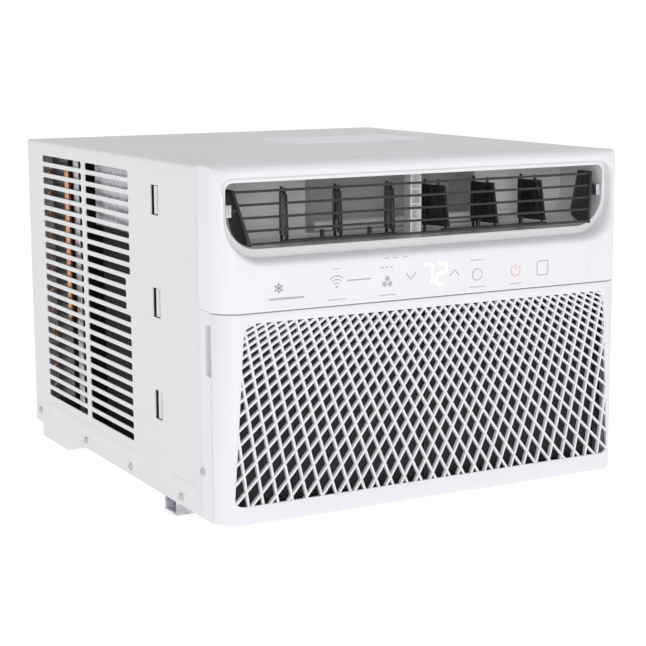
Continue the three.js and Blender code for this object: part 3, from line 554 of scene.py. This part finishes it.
def steelCabinet():
    s = steel
    depth, height, front, past = wrapHigh.y, wrapHigh.z, wrapLow.y, s["past"]
    beyond = halfWidth + past
    body = rounded(cuboid(-halfWidth, halfWidth, front, depth, 0, height), s["bend"], 5,
                   lambda e: runsAlong(1)(e) and middle(e).z > height - 1)
    sheet = s["sheet"]
    inner = cuboid(-halfWidth + sheet, halfWidth - sheet, front - past, depth - sheet, -past, height - sheet)
    rounded(inner, s["bend"] - sheet, 5, lambda e: runsAlong(1)(e) and middle(e).z > height - 3)
    body = carved(body, inner)
    body = carved(body, cuboid(-halfWidth + s["flange"], halfWidth - s["flange"], depth - past, depth + past,
                               -past, height - s["rearTop"]))
    cuts = []
    for row in range(s["slotRows"]):
        z = s["lowestSlot"] + row * s["slotPitch"]
        for column in (s["frontSlots"], s["rearSlots"]):
            start = s["shortFrom"] if row in s["shortRows"] and column is s["frontSlots"] else column[0]
            slot = cuboid(-beyond, beyond, start, column[1], z - s["slotHeight"] / 2, z + s["slotHeight"] / 2)
            cuts.append(rounded(slot, s["slotEnd"], 3, runsAlong(0)))
    bend, flat, slit, end = s["lance"]
    for level in s["lanceLevels"]:
        cuts.append(cuboid(-beyond, beyond, bend, end, level - s["lanceHeight"] / 2,
                           level + s["lanceHeight"] / 2))
    for x0, x1, y0, y1 in s["panels"]:
        slope = s["panelSlope"]
        wide = roundRect(x0 - slope, x1 + slope, y0 - slope, y1 + slope, 8, steps=5)
        sunk = roundRect(x0, x1, y0, y1, 5, steps=5)
        cuts.append(loft([[(x, y, height + 2) for x, y in wide], [(x, y, height) for x, y in wide],
                          [(x, y, height - s["panelDepth"]) for x, y in sunk]]))
    for y0, y1, deep in s["lines"]:
        cuts.append(cuboid(-halfWidth + s["bend"], halfWidth - s["bend"], y0, y1, height - deep, height + 2))
    x0, x1, y0, y1 = s["label"]
    cuts.append(cuboid(x0, x1, y0, y1, height - s["labelSink"], height + 2))
    cuts += [rod("z", x, y, s["holeRadius"], height - 3, height + 3, 20) for x, y in s["holes"]]
    for tool in cuts:
        bmesh.ops.recalc_face_normals(tool, faces=tool.faces)
    body = carved(body, together(*cuts))
    outer, inset = halfWidth, halfWidth - s["lanceInset"]
    outline = [(outer, bend - 1), (outer, bend), (inset, flat), (inset, slit), (inset - s["sheet"], slit),
               (inset - s["sheet"], flat), (outer - s["sheet"], bend), (outer - s["sheet"], bend - 1)]
    flaps = [plate("z", [outline], level - s["lanceHeight"] / 2 + s["lanceGap"],
                   level + s["lanceHeight"] / 2 - s["lanceGap"]) for level in s["lanceLevels"]]
    return together(body, mirroredToo(together(*flaps, *sideRelief())))


place("steelCabinet", steelCabinet(), finishes["steel_white"], "cabinet", "steel_white", ["cabinet_wrap"])
x0, x1, y0, y1 = steel["label"]
margin, (sunk, rise) = steel["labelMargin"], steel["labelRise"]
labelSheet = cuboid(x0 + margin, x1 - margin, y0 + margin, y1 - margin, wrapHigh.z - sunk, wrapHigh.z - rise)
place("labelFilm", rounded(labelSheet, 0.01, 1), film, "cabinet", "plastic_grey")


# Screws, pan and feet

screwHead = dict(radius=4, proud=1.9, seat=0.2, edge=1.0, cross=(2.6, 0.7, 1.0))


def sideScrews():
    h = screwHead
    heads = []
    for n in range(1, 6):
        low, high = inUnit(f"side_screw_right_{n}")
        y, z = (low.y + high.y) / 2, (low.z + high.z) / 2
        head = rod("x", y, z, h["radius"], halfWidth + h["seat"], halfWidth + h["proud"], 28)
        rounded(head, h["edge"], 4, lambda e: sharp(e, 60) and middle(e).x > halfWidth + h["proud"] - 0.1)
        reach, wide, deep = h["cross"]
        half, face = wide / 2, halfWidth + h["proud"]
        cross = carved(cuboid(face - deep, face + 1, y - reach, y + reach, z - half, z + half),
                       cuboid(face - deep, face + 1, y - half, y + half, z - reach, z + reach), "UNION")
        heads.append(carved(head, cross))
        heads.append(rod("x", y, z, 2, halfWidth - 8, halfWidth + h["seat"] + 0.1, 16))
    return mirroredToo(together(*heads))


place("sideScrews", sideScrews(), finishes["zinc"], "cabinet", "zinc",
      [f"side_screw_{hand}_{n}" for hand in ("left", "right") for n in range(1, 6)])
softened("floorPan", ["base_pan"], 1.0, "cabinet", "steel_white", 3)
softened("footBrackets", ["foot_bracket_left", "foot_bracket_right"], 0.8, "cabinet", "zinc", 3)
print("cabinet made")


# Moulded front

moulding = dict(wall=2.6, corner=26, leanFrom=305, leanBack=16, topRound=7, lip=8, lipSteps=7, lipStart=12,
                fasciaFoot=210.9, footEdge=0.8,
                mouthHalf=228.5, mouthFoot=261.5, mouthTop=338.5, mouthLowRadius=38, mouthHighRadius=9,
                mouthDepth=18, crownLead=2,
                frameFrom=22.9, airHalf=216, airFoot=14, airTop=204, notch=(21.6, 34, 147, 198, 8),
                film=(195, 214.5, 252.3, 3, 0.4, 0.06), topGroove=(40, 41.6, 0.8))


def fasciaSolid(inset, back):
    # The side profile and the plan outline, each made solid, overlap in the fascia
    m = moulding
    half, top, foot = halfWidth - inset, bezelHigh.z - inset, m["fasciaFoot"] + inset
    face, lean, radius = inset, m["leanBack"], m["corner"] - inset
    crown = bent(Vector((face + lean - m["crownLead"], top - m["topRound"])), Vector((face + lean, top)),
                 Vector((face + lean + m["topRound"], top)), 8)
    side = [(back, top), (back, foot), (face, foot), (face, m["leanFrom"])] + crown
    leftCorner = arc(-half + radius, face + radius, radius, 180, 270, 16)
    rightCorner = arc(half - radius, face + radius, radius, 270, 360, 16)
    outline = [(half, back + 1), (-half, back + 1)] + leftCorner + rightCorner
    return carved(plate("x", [side], -halfWidth - 1, halfWidth + 1), plate("z", [outline], foot - 1, top + 1),
                  "INTERSECT")


def fasciaFront(x, z):
    m = moulding
    beyond = max(0, abs(x) - (halfWidth - m["corner"]))
    turned = m["corner"] - math.sqrt(max(0, m["corner"] ** 2 - beyond ** 2))
    slope = (m["leanBack"] - m["crownLead"]) / (bezelHigh.z - m["topRound"] - m["leanFrom"])
    return max(turned, slope * max(0, z - m["leanFrom"]))


def mouthOutline(grow, parts=24, steps=12):
    m = moulding
    half = m["mouthHalf"] + grow
    loop = roundRect(-half, half, m["mouthFoot"] - grow, m["mouthTop"] + grow,
                     m["mouthLowRadius"] + grow, m["mouthHighRadius"] + grow, steps)
    divided = []
    for i, (x, z) in enumerate(loop):
        divided.append((x, z))
        if i % (steps + 1) == steps:
            toX, toZ = loop[(i + 1) % len(loop)]
            divided += [(x + (toX - x) * k / parts, z + (toZ - z) * k / parts) for k in range(1, parts)]
    return divided


def mouthTool():
    # Cuts the mouth together with its rounded lip, which follows the leaning and turning face
    m = moulding
    lip = m["lip"]
    wide = mouthOutline(lip + 1)
    rings = [[(x, -5, z) for x, z in wide], [(x, fasciaFront(x, z) - 0.35, z) for x, z in wide]]
    for i in range(m["lipSteps"] + 1):
        turn = math.radians(m["lipStart"] + (90 - m["lipStart"]) * i / m["lipSteps"])
        ring = mouthOutline(lip * (1 - math.sin(turn)))
        rings.append([(x, m["mouthDepth"] - (m["mouthDepth"] - fasciaFront(x, z)) * math.cos(turn), z)
                      for x, z in ring])
    rings.append([(x, m["mouthDepth"] + 12, z) for x, z in mouthOutline(0)])
    return loft(rings)


def filmOutline(grow):
    half, foot, top, corner = moulding["film"][:4]
    return roundRect(-half - grow, half + grow, foot - grow, top + grow, corner)


def frontBezel():
    m = moulding
    wall = m["wall"]
    skin = carved(fasciaSolid(0, bezelHigh.y), fasciaSolid(wall, bezelHigh.y + 5))
    rounded(skin, m["footEdge"], 2, lambda e: sharp(e) and farthest(e, 2) < m["fasciaFoot"] + 0.01
            and middle(e).y < bezelHigh.y - 1)
    lipRoot = carved(plate("y", [mouthOutline(m["lip"] + wall)], 0.1, m["mouthDepth"]),
                     fasciaSolid(0.1, bezelHigh.y), "INTERSECT")
    skin = carved(skin, lipRoot, "UNION")
    skin = carved(skin, mouthTool())
    skin = carved(skin, plate("y", [filmOutline(0.05)], -1, m["film"][4]))
    grooveFrom, grooveTo, grooveDeep = m["topGroove"]
    skin = carved(skin, cuboid(-halfWidth - 1, halfWidth + 1, grooveFrom, grooveTo, bezelHigh.z - grooveDeep,
                               bezelHigh.z + 1))
    frameBox = carved(cuboid(-halfWidth, halfWidth, m["frameFrom"], bezelHigh.y, 0, m["fasciaFoot"]),
                      cuboid(-halfWidth + wall, halfWidth - wall, m["frameFrom"] + wall, bezelHigh.y + 5,
                             wall, m["fasciaFoot"] + 5))
    frameBox = carved(frameBox, cuboid(-m["airHalf"], m["airHalf"], 0, 40, m["airFoot"], m["airTop"]))
    y0, y1, z0, z1, deep = m["notch"]
    walls = cuboid(halfWidth - deep - wall, halfWidth - 1, y0 + 1.5, y1 + wall, z0 - wall, z1 + wall)
    rounded(walls, 1.5, 3, runsAlong(0))
    frameBox = carved(frameBox, mirroredToo(walls), "UNION")
    pocket = rounded(cuboid(halfWidth - deep, halfWidth + 5, y0 - 4, y1, z0, z1), 2.5, 4, runsAlong(0))
    frameBox = carved(frameBox, mirroredToo(pocket))
    return together(skin, frameBox)


place("frontBezel", frontBezel(), finishes["plastic_white"], "cabinet", "plastic_white",
      ["front_bezel", "grille_frame"])
place("controlFilm", rounded(plate("y", [filmOutline(0)], moulding["film"][5], moulding["film"][4]), 0.05, 1,
                             lambda e: sharp(e) and middle(e).y < 0.1),
      finishes["plastic_white"], "cabinet", "plastic_white", ["control_overlay"])
print("moulded front made")


# Printed marks on the fascia: plain bars stand where words would be

marks = dict(front=0.005, back=0.07, line=1.1, twig=2.2, twigRoot=1.5, petal=(3.6, 2.7),
             labels=[(-124, -104, 217, 1), (-102, -75, 235, 1.6), (-66, -46, 217, 1), (42, 62, 217, 1),
                     (92, 108, 217, 1), (-189, -150, 222.6, 2.2), (-118, -110, 247.5, 0.9)],
             stacks=[(-56, 3, 245, 8), (52, 4, 245, 8)], ticks=[(-60, -54), (-50, -44), (-38, -32)],
             tickHeight=254.3,
             snowflake=(-178, 233, 5.6), chevrons=[(-28, 1), (24, -1)], chevronHeight=234, chevron=(5.5, 3.2),
             wireless=(-114, 229.5), fanIcon=(-56, 230), modeIcon=(52, 230, 6.5), power=(100, 230.5, 6.2),
             square=(127, 142, 223, 239, 1.2))


def stroke(points, width):
    left, right = [], []
    for i, (u, v) in enumerate(points):
        (u0, v0), (u1, v1) = points[max(i - 1, 0)], points[min(i + 1, len(points) - 1)]
        length = math.hypot(u1 - u0, v1 - v0)
        across = ((v0 - v1) / length * width / 2, (u1 - u0) / length * width / 2)
        left.append((u + across[0], v + across[1]))
        right.append((u - across[0], v - across[1]))
    return left + right[::-1]


def printed(*loops):
    return plate("y", list(loops), marks["front"], marks["back"])


def bar(x0, x1, z, thick):
    return printed(roundRect(x0, x1, z - thick / 2, z + thick / 2, thick * 0.35, steps=3))


def greyMarks():
    k = marks
    made = [bar(*label) for label in k["labels"]]
    for x, count, z, half in k["stacks"]:
        made += [bar(x - half + step * 2 * half / count, x - half + (step + 0.72) * 2 * half / count, z, 1.3)
                 for step in range(count)]
    made += [bar(x0, x1, k["tickHeight"], 0.9) for x0, x1 in k["ticks"]]
    u, v, reach = k["snowflake"]
    for turn in (30, 90, 150):
        way = Vector((math.cos(math.radians(turn)), math.sin(math.radians(turn))))
        ends = [(u - way.x * reach, v - way.y * reach), (u + way.x * reach, v + way.y * reach)]
        made.append(printed(stroke(ends, k["line"])))
        for end, out in ((ends[0], -1), (ends[1], 1)):
            for lean in (40, -40):
                tilt = math.radians(turn + 180 * (out > 0) + lean)
                root = (end[0] - out * way.x * k["twigRoot"], end[1] - out * way.y * k["twigRoot"])
                tip = (root[0] + k["twig"] * math.cos(tilt), root[1] + k["twig"] * math.sin(tilt))
                made.append(printed(stroke([root, tip], k["line"] * 0.7)))
    for x, way in k["chevrons"]:
        half, rise = k["chevron"]
        z = k["chevronHeight"]
        points = [(x - half, z + way * rise), (x, z - way * rise), (x + half, z + way * rise)]
        made.append(printed(stroke(points, k["line"] * 1.3)))
    u, v = k["wireless"]
    made += [printed(stroke(arc(u, v, radius, 45, 135, 10), k["line"])) for radius in (4, 7.5, 11)]
    made.append(printed(arc(u, v, 1.4, 0, 340, 17)))
    u, v = k["fanIcon"]
    reach, radius = k["petal"]
    made += [printed(arc(x, z, radius, 0, 345, 20)) for x, z in arc(u, v, reach, 90, 330, 2)]
    u, v, radius = k["modeIcon"]
    made.append(printed(arc(u, v, radius, 0, 350, 35), arc(u, v, radius - k["line"], 0, 350, 35)))
    x0, x1, z0, z1, line = k["square"]
    inner = roundRect(x0 + line, x1 - line, z0 + line, z1 - line, 1)
    made.append(printed(roundRect(x0, x1, z0, z1, 2), inner))
    return together(*made)


def powerMark():
    u, v, radius = marks["power"]
    return together(printed(stroke(arc(u, v, radius - 0.6, 120, 420, 30), 1.2)),
                    printed(stroke([(u, v + 1), (u, v + radius + 0.6)], 1.2)))


digits = dict(foot=223.5, height=21, width=11.5, line=2.3, lean=0.06, lefts=(-15, 1.5),
              segments=dict(top=((0, 2), (1, 2)), upperRight=((1, 2), (1, 1)), middle=((0, 1), (1, 1)),
                            lowerRight=((1, 1), (1, 0)), lowerLeft=((0, 1), (0, 0)), foot=((0, 0), (1, 0))),
              lit=(("top", "upperRight", "lowerRight"), ("top", "upperRight", "middle", "lowerLeft", "foot")))


def litDigits():
    d = digits
    made = []
    for left, names in zip(d["lefts"], d["lit"]):
        for name in names:
            ends = [Vector((left + u * d["width"], d["foot"] + v * d["height"] / 2))
                    for u, v in d["segments"][name]]
            way = (ends[1] - ends[0]).normalized()
            side = Vector((-way.y, way.x)) * d["line"] / 2
            a, b = ends[0] + way * 0.4, ends[1] - way * 0.4
            tip = way * d["line"] / 2
            loop = [a, a + tip + side, b - tip + side, b, b - tip - side, a + tip - side]
            made.append(printed([(p.x + (p.y - d["foot"]) * d["lean"], p.y) for p in loop]))
    return together(*made)


place("fasciaPrint", greyMarks(), printGrey, "cabinet", "plastic_grey")
place("powerMark", powerMark(), printRed, "cabinet", "plastic_grey")
place("litDigits", litDigits(), digitGlow, "cabinet", "display")
print("marks printed")


# Intake grille: a shell with a field of crossing ribs

intake = dict(wall=2.5, footEdge=3, topEdge=1, footHalf=227.2, topHalf=215.5, foot=19.2, top=200.6, corner=10,
              ribPitch=11.35, lean=39.5, leanStep=1.5, ribWidth=2.3, ribFrom=0.5, ribDepth=4, ribCount=24,
              ribEdge=0.4, roughDepth=80)


def trimmed(bm, point, normal):
    bmesh.ops.bisect_plane(bm, geom=bm.verts[:] + bm.edges[:] + bm.faces[:], plane_co=point, plane_no=normal,
                           clear_outer=True)
    bmesh.ops.holes_fill(bm, edges=[e for e in bm.edges if e.is_boundary], sides=0)
    return bm


def grilleSolid(inset, back):
    corner = moulding["corner"] - inset
    half, top = halfWidth - inset, grilleHigh.z - inset
    bm = cuboid(-half, half, inset, intake["roughDepth"], inset, top)
    rounded(bm, corner, 10, lambda e: runsAlong(2)(e) and middle(e).y < inset + 1)
    trimmed(bm, (0, back, 0), (0, 1, 0))
    if not inset:
        rounded(bm, intake["footEdge"], 4, lambda e: sharp(e) and farthest(e, 2) < inset + 0.1
                and middle(e).y < back - 0.1)
        rounded(bm, intake["topEdge"], 2, lambda e: sharp(e) and farthest(e, 2, min) > top - 0.1
                and middle(e).y < back - 0.1)
    return bm


def fieldOutline(grow=0):
    g = intake
    corners = [(-g["footHalf"] - grow, g["foot"] - grow), (g["footHalf"] + grow, g["foot"] - grow),
               (g["topHalf"] + grow, g["top"] + grow), (-g["topHalf"] - grow, g["top"] + grow)]
    loop = []
    for i, corner in enumerate(corners):
        here, before, after = Vector(corner), Vector(corners[i - 1]), Vector(corners[(i + 1) % 4])
        start = here + (before - here).normalized() * g["corner"]
        stop = here + (after - here).normalized() * g["corner"]
        loop += bent(start, here, stop, 6)
    return loop


def ribField():
    # The field is one flat face cut along both sides of every rib; what lies between ribs is then taken away
    g = intake
    bm = bmesh.new()
    bm.faces.new([bm.verts.new((x, 0, z)) for x, z in fieldOutline(1.2)])
    strips = []
    for side in (1, -1):
        for n in range(-g["ribCount"], g["ribCount"] + 1):
            angle = math.radians(g["lean"] - g["leanStep"] * n)
            through = Vector((side * n * g["ribPitch"], 0, g["top"]))
            across = Vector((side * math.cos(angle), 0, -math.sin(angle)))
            strips.append((through, across))
            for edge in (-0.5, 0.5):
                bmesh.ops.bisect_plane(bm, geom=bm.verts[:] + bm.edges[:] + bm.faces[:], dist=0.0001,
                                       plane_co=through + across * edge * g["ribWidth"], plane_no=across)
    cells = []
    for face in bm.faces:
        centre = face.calc_center_median()
        if all(abs((centre - through).dot(across)) > g["ribWidth"] / 2 for through, across in strips):
            cells.append(face)
    bmesh.ops.delete(bm, geom=cells, context="FACES")
    raised = bmesh.ops.extrude_face_region(bm, geom=bm.faces[:])["geom"]
    bmesh.ops.translate(bm, vec=(0, g["ribDepth"], 0), verts=cornersIn(raised))
    bmesh.ops.recalc_face_normals(bm, faces=bm.faces)
    rounded(bm, g["ribEdge"], 1, lambda e: sharp(e, 60) and farthest(e, 1) < 0.01)
    bmesh.ops.translate(bm, vec=(0, g["ribFrom"], 0), verts=bm.verts)
    return bm


def intakeGrille():
    g = intake
    shell = carved(grilleSolid(0, grilleHigh.y), grilleSolid(g["wall"], grilleHigh.y + 10))
    shell = carved(shell, plate("y", [fieldOutline()], -5, 12))
    rounded(shell, 0.8, 2, lambda e: sharp(e, 60) and middle(e).y < 0.01
            and abs(middle(e).x) < g["footHalf"] + 0.5 and g["foot"] - 0.5 < middle(e).z < g["top"] + 0.5)
    return shell


place("grilleShell", intakeGrille(), finishes["plastic_white"], "grille", "plastic_white", ["intake_grille"])
place("grilleRibs", ribField(), finishes["plastic_white"], "grille", "plastic_white")
print("intake grille made")


# Outlet: duct, louver, vanes and what is seen behind them

outlet = dict(flangeFrom=18.2, half=225, foot=270.3, top=335, start=20, back=96, lowRadius=34, highRadius=8,
              wall=2.4, flangeEdge=0.5, throat=(98, 276, 58, 3, -98.5, 109.5), throatTurn=(-20, 90),
              openLeft=-99, openRight=110, openEdge=3, tongue=(88, 280, 5.2, -92, 150), tongueEdge=2)


def outletDuct():
    o = outlet
    half, wall = o["half"], o["wall"]
    inside = roundRect(-half, half, o["foot"], o["top"], o["lowRadius"], o["highRadius"], 14)
    outside = roundRect(-half - wall, half + wall, o["foot"] - wall, o["top"] + wall, o["lowRadius"] + wall,
                        o["highRadius"] + wall, 14)
    opening = roundRect(o["openLeft"], o["openRight"], o["foot"] + 2, o["top"] - 3, o["openEdge"])
    body = carved(plate("y", [outside], o["start"], o["back"]),
                  plate("y", [inside], o["start"] - 5, o["back"] - wall))
    body = carved(body, plate("y", [opening], o["back"] - 10, o["back"] + 5))
    flange = plate("y", [mouthOutline(1.5), inside], o["flangeFrom"], o["start"] + 0.2)
    rounded(flange, o["flangeEdge"], 2, lambda e: sharp(e, 60) and farthest(e, 1) < o["flangeFrom"] + 0.01)
    return together(body, flange)


place("outletDuct", outletDuct(), finishes["duct"], "cabinet", "plastic_grey", ["outlet_duct"])
y, z, radius, low, high = outlet["tongue"]
tongue = rounded(rod("x", y, z, radius, low, high), outlet["tongueEdge"], 3, lambda e: sharp(e, 60))
place("ductTongue", tongue, finishes["duct"], "cabinet", "plastic_grey")
y, z, radius, wall, low, high = outlet["throat"]
start, stop = outlet["throatTurn"]
throat = arc(y, z, radius, start, stop, 14) + arc(y, z, radius - wall, stop, start, 14)
place("scrollThroat", plate("x", [throat], low, high), finishes["duct"], "cabinet", "foam")


blade = dict(spots=dict(inner=23.2, middle=84.2, outer=145.2), pivotY=57, turn=17.6, foot=278,
             top=320.5,
             frontTop=-26.9, frontFoot=-33.5, frontThick=3, frontDeep=2.4, rearThick=4.6, rearDeep=4,
             edge=0.5)


def vaneRims(hand, spot):
    # Thicker edges down the front and the back of a blade, drawn about its pivot
    b = blade
    side = -1 if hand == "left" else 1
    front = [(b["frontFoot"], b["foot"]), (b["frontFoot"] + b["frontDeep"], b["foot"]),
             (b["frontTop"] + b["frontDeep"], b["top"]), (b["frontTop"], b["top"])]
    rear = roundRect(-b["rearDeep"] / 2, b["rearDeep"] / 2, b["foot"], b["top"], 0.8, steps=3)
    rims = together(plate("x", [front], -b["frontThick"] / 2, b["frontThick"] / 2),
                    plate("x", [rear], -b["rearThick"] / 2, b["rearThick"] / 2))
    rounded(rims, b["edge"], 2, lambda e: sharp(e, 50))
    bmesh.ops.rotate(rims, matrix=Matrix.Rotation(math.radians(side * b["turn"]), 3, "Z"), verts=rims.verts)
    bmesh.ops.translate(rims, vec=(side * b["spots"][spot], b["pivotY"], 0), verts=rims.verts)
    return rims


softened("louverBars", ["louver_frame"], 0.5, "louver", "plastic_black")
softened("pivotClips", ["pivot_clip_left", "pivot_clip_right"], 0.8, "cabinet", "zinc", 3)
for hand in ("left", "right"):
    for spot in ("inner", "middle", "outer"):
        name = f"vane_{hand}_{spot}"
        softened(name + "_blade", [name], 0.35, name, "plastic_black", finish=finishes["vane"])
        place(name + "_rims", vaneRims(hand, spot), finishes["plastic_black"], name, "plastic_black")
    softened(f"link_{hand}_bar", [f"vane_link_{hand}"], 0.4, f"link_{hand}", "plastic_black")
softened("vaneRail", ["vane_rail"], 0.3, "cabinet", "plastic_grey")
softened("outletLadder", ["outlet_strut"], 0.5, "cabinet", "plastic_grey", finish=finishes["duct"])
print("outlet made")


# Coils, blower wheel and what shows through the side slots

coil = dict(finPitch=2.4, fin=0.35, finInset=0.6, plate=1.2, strip=2.6, tubeInset=9, bendRadius=1.9,
            tubeRadius=4, rowPitch=24, edge=6, bendProud=7)


def finnedCoil(node):
    # Stack of flat fins between two end plates, with tube ends bent in pairs at both sides
    c = coil
    low, high = inUnit(node)
    fins = []
    inset, half = c["finInset"], c["plate"] / 2
    inner = high.x - c["bendProud"]
    count = int(2 * (inner - c["plate"]) / c["finPitch"])
    for n in range(count + 1):
        x = -inner + c["plate"] + n * 2 * (inner - c["plate"]) / count
        fins.append(cuboid(x - c["fin"] / 2, x + c["fin"] / 2, low.y + inset, high.y - inset,
                           low.z + inset, high.z - inset))
    ends = [cuboid(side * inner - half, side * inner + half, low.y, high.y, low.z, high.z)
            for side in (-1, 1)]
    ends += [cuboid(*sorted((side * inner, side * (high.x + c["strip"]))), high.y - c["plate"], high.y,
                    low.z, high.z) for side in (-1, 1)]
    rows = int((high.z - low.z - 2 * c["edge"]) / c["rowPitch"])
    tubes = []
    for n in range(rows + 1):
        z = low.z + c["edge"] + 4 + n * c["rowPitch"]
        if z + c["rowPitch"] / 2 > high.z - 3:
            continue
        for y in (low.y + c["tubeInset"], high.y - c["tubeInset"]):
            tubes += [rod("x", y, level, c["tubeRadius"] - 0.6, -inner, inner, 10)
                      for level in (z, z + c["rowPitch"] / 2)]
            for side in (-1, 1):
                bend = [(side * (inner + 5 * math.sin(math.radians(a)) - 1),
                         y, z + c["rowPitch"] / 4 - c["rowPitch"] / 4 * math.cos(math.radians(a)))
                        for a in range(0, 181, 30)]
                tubes.append(tube(bend, c["bendRadius"], 10))
    return together(*fins, *ends), together(*tubes)


for node, fins, pipes in (("condenser_coil", "condenserFins", "condenserTubes"),
                          ("evaporator_coil", "evaporatorFins", "evaporatorTubes")):
    finStack, tubeStack = finnedCoil(node)
    place(fins, finStack, finishes["aluminium"], "cabinet", "aluminium", [node])
    place(pipes, tubeStack, finishes["copper"], "cabinet", "copper")

drum = dict(blades=38, outer=91, inner=74, sweep=26, thick=1.4, ring=4, hub=16, hubLength=30, bore=6.6,
            disc=3)


def blowerWheel():
    d = drum
    low, high = inUnit("blower_wheel")
    x, z = (low.x + high.x) / 2, (low.z + high.z) / 2
    parts = []
    for n in range(d["blades"]):
        turn = 360 * n / d["blades"]
        spine = []
        for step in range(6):
            reach = d["inner"] + (d["outer"] - 1 - d["inner"]) * step / 5
            angle = math.radians(turn + d["sweep"] * (step / 5) ** 1.6)
            spine.append((x + reach * math.cos(angle), z + reach * math.sin(angle)))
        parts.append(plate("y", [stroke(spine, d["thick"])], low.y + 1, high.y - 1))
    rim, bore = arc(x, z, d["outer"], 0, 354, 59), arc(x, z, d["bore"], 0, 345, 23)
    for start in (low.y, high.y - d["ring"]):
        parts.append(plate("y", [rim, arc(x, z, d["inner"] + 6, 0, 354, 59)], start, start + d["ring"]))
    parts.append(plate("y", [rim, bore], high.y - d["disc"], high.y))
    parts.append(plate("y", [arc(x, z, d["hub"], 0, 348, 29), bore], high.y - d["hubLength"], high.y))
    return together(*parts)


place("blowerDrum", blowerWheel(), finishes["plastic_black"], "rotor", "plastic_black", ["blower_wheel"])
innerWorks = [
    ("airFan", "condenser_fan", 0.6, "rotor", "plastic_black", 2),
    ("fanMotor", "fan_motor", 1.5, "cabinet", "enamel_black", 3),
    ("motorStand", "motor_stand", 0.5, "cabinet", "zinc", 2),
    ("bulkheadSheet", "bulkhead", 0.3, "cabinet", "zinc", 2),
    ("compressorShell", "compressor", 1.2, "cabinet", "enamel_black", 3),
    ("controlCase", "control_box", 1.0, "cabinet", "zinc", 3),
    ("capacitorCan", "run_capacitor", 1.5, "cabinet", "zinc", 3),
    ("filterFrame", "filter_frame", 0.6, "air_filter", "plastic_black", 2),
    ("drainPlug", "drain_plug", 0.8, "cabinet", "rubber", 3),
    ("cordGland", "cord_gland", 0.6, "cabinet", "rubber", 2),
]
for name, node, width, body, slot, segments in innerWorks:
    softened(name, [node], width, body, slot, segments)

behindSlots = dict(header=(-235.6, 428, 3.5, 150, 318), flange=(-232, -230, 402, 418, 22, 336),
                   brace=(-229, -227, 246, 356, 264, 338), braceLip=(8, 1.5),
                   shadeSheet=(-206, -203.5, 238, 396, 4, 262))


def headerTube():
    x, y, radius, low, high = behindSlots["header"]
    return tube([(x + 3, y + 8, low - 6), (x, y, low), (x, y, high), (x + 3, y + 8, high + 6)], radius)


def slotBrace():
    x0, x1, y0, y1, z0, z1 = behindSlots["brace"]
    lip, thick = behindSlots["braceLip"]
    sheets = [(x0, x1, y0, y1, z0, z1), (x0, x1 + lip, y0, y1, z0, z0 + thick),
              (x0, x1 + lip, y1 - thick, y1, z0, z1)]
    return together(*(rounded(cuboid(*sheet), 0.4, 2) for sheet in sheets))


place("headerTube", headerTube(), finishes["copper"], "cabinet", "copper")
place("shroudFlange", rounded(cuboid(*behindSlots["flange"]), 0.4, 2), finishes["zinc"], "cabinet", "zinc")
place("slotBrace", slotBrace(), finishes["zinc"], "cabinet", "zinc")
# A dark rubber sheet behind the left side slots: painted shade standing in for the shadow inside them
place("slotShadeSheet", rounded(cuboid(*behindSlots["shadeSheet"]), 0.8, 2), finishes["rubber"], "cabinet", "rubber")
print("inner works made")


# Carried-over pieces take their finishes

slotOf = {row["node"]: row["material_slot"] for row in frame["record"]["subparts"]}
for node, piece in frame["nodes"].items():
    piece.data.materials.clear()
    piece.data.materials.append(finishes[slotOf[node]])
    piece.data.shade_smooth()
    piece.data.set_sharp_from_angle(angle=math.radians(32))
print("carried-over pieces finished")


# Floor

floorSheet = dict(half=60, color=(0.93, 0.93, 0.935), glow=0.42)


def makeFloor():
    finish = Finish("paperFloor", floorSheet["color"], 0.85,
                    **{"Emission Color": (1, 1, 1, 1), "Emission Strength": floorSheet["glow"]})
    bm = bmesh.new()
    bmesh.ops.create_grid(bm, x_segments=1, y_segments=1, size=floorSheet["half"])
    mesh = bpy.data.meshes.new("floor")
    bm.to_mesh(mesh)
    bm.free()
    mesh.materials.append(finish.material)
    floor = bpy.data.objects.new("floor", mesh)
    scene.collection.objects.link(floor)


makeFloor()
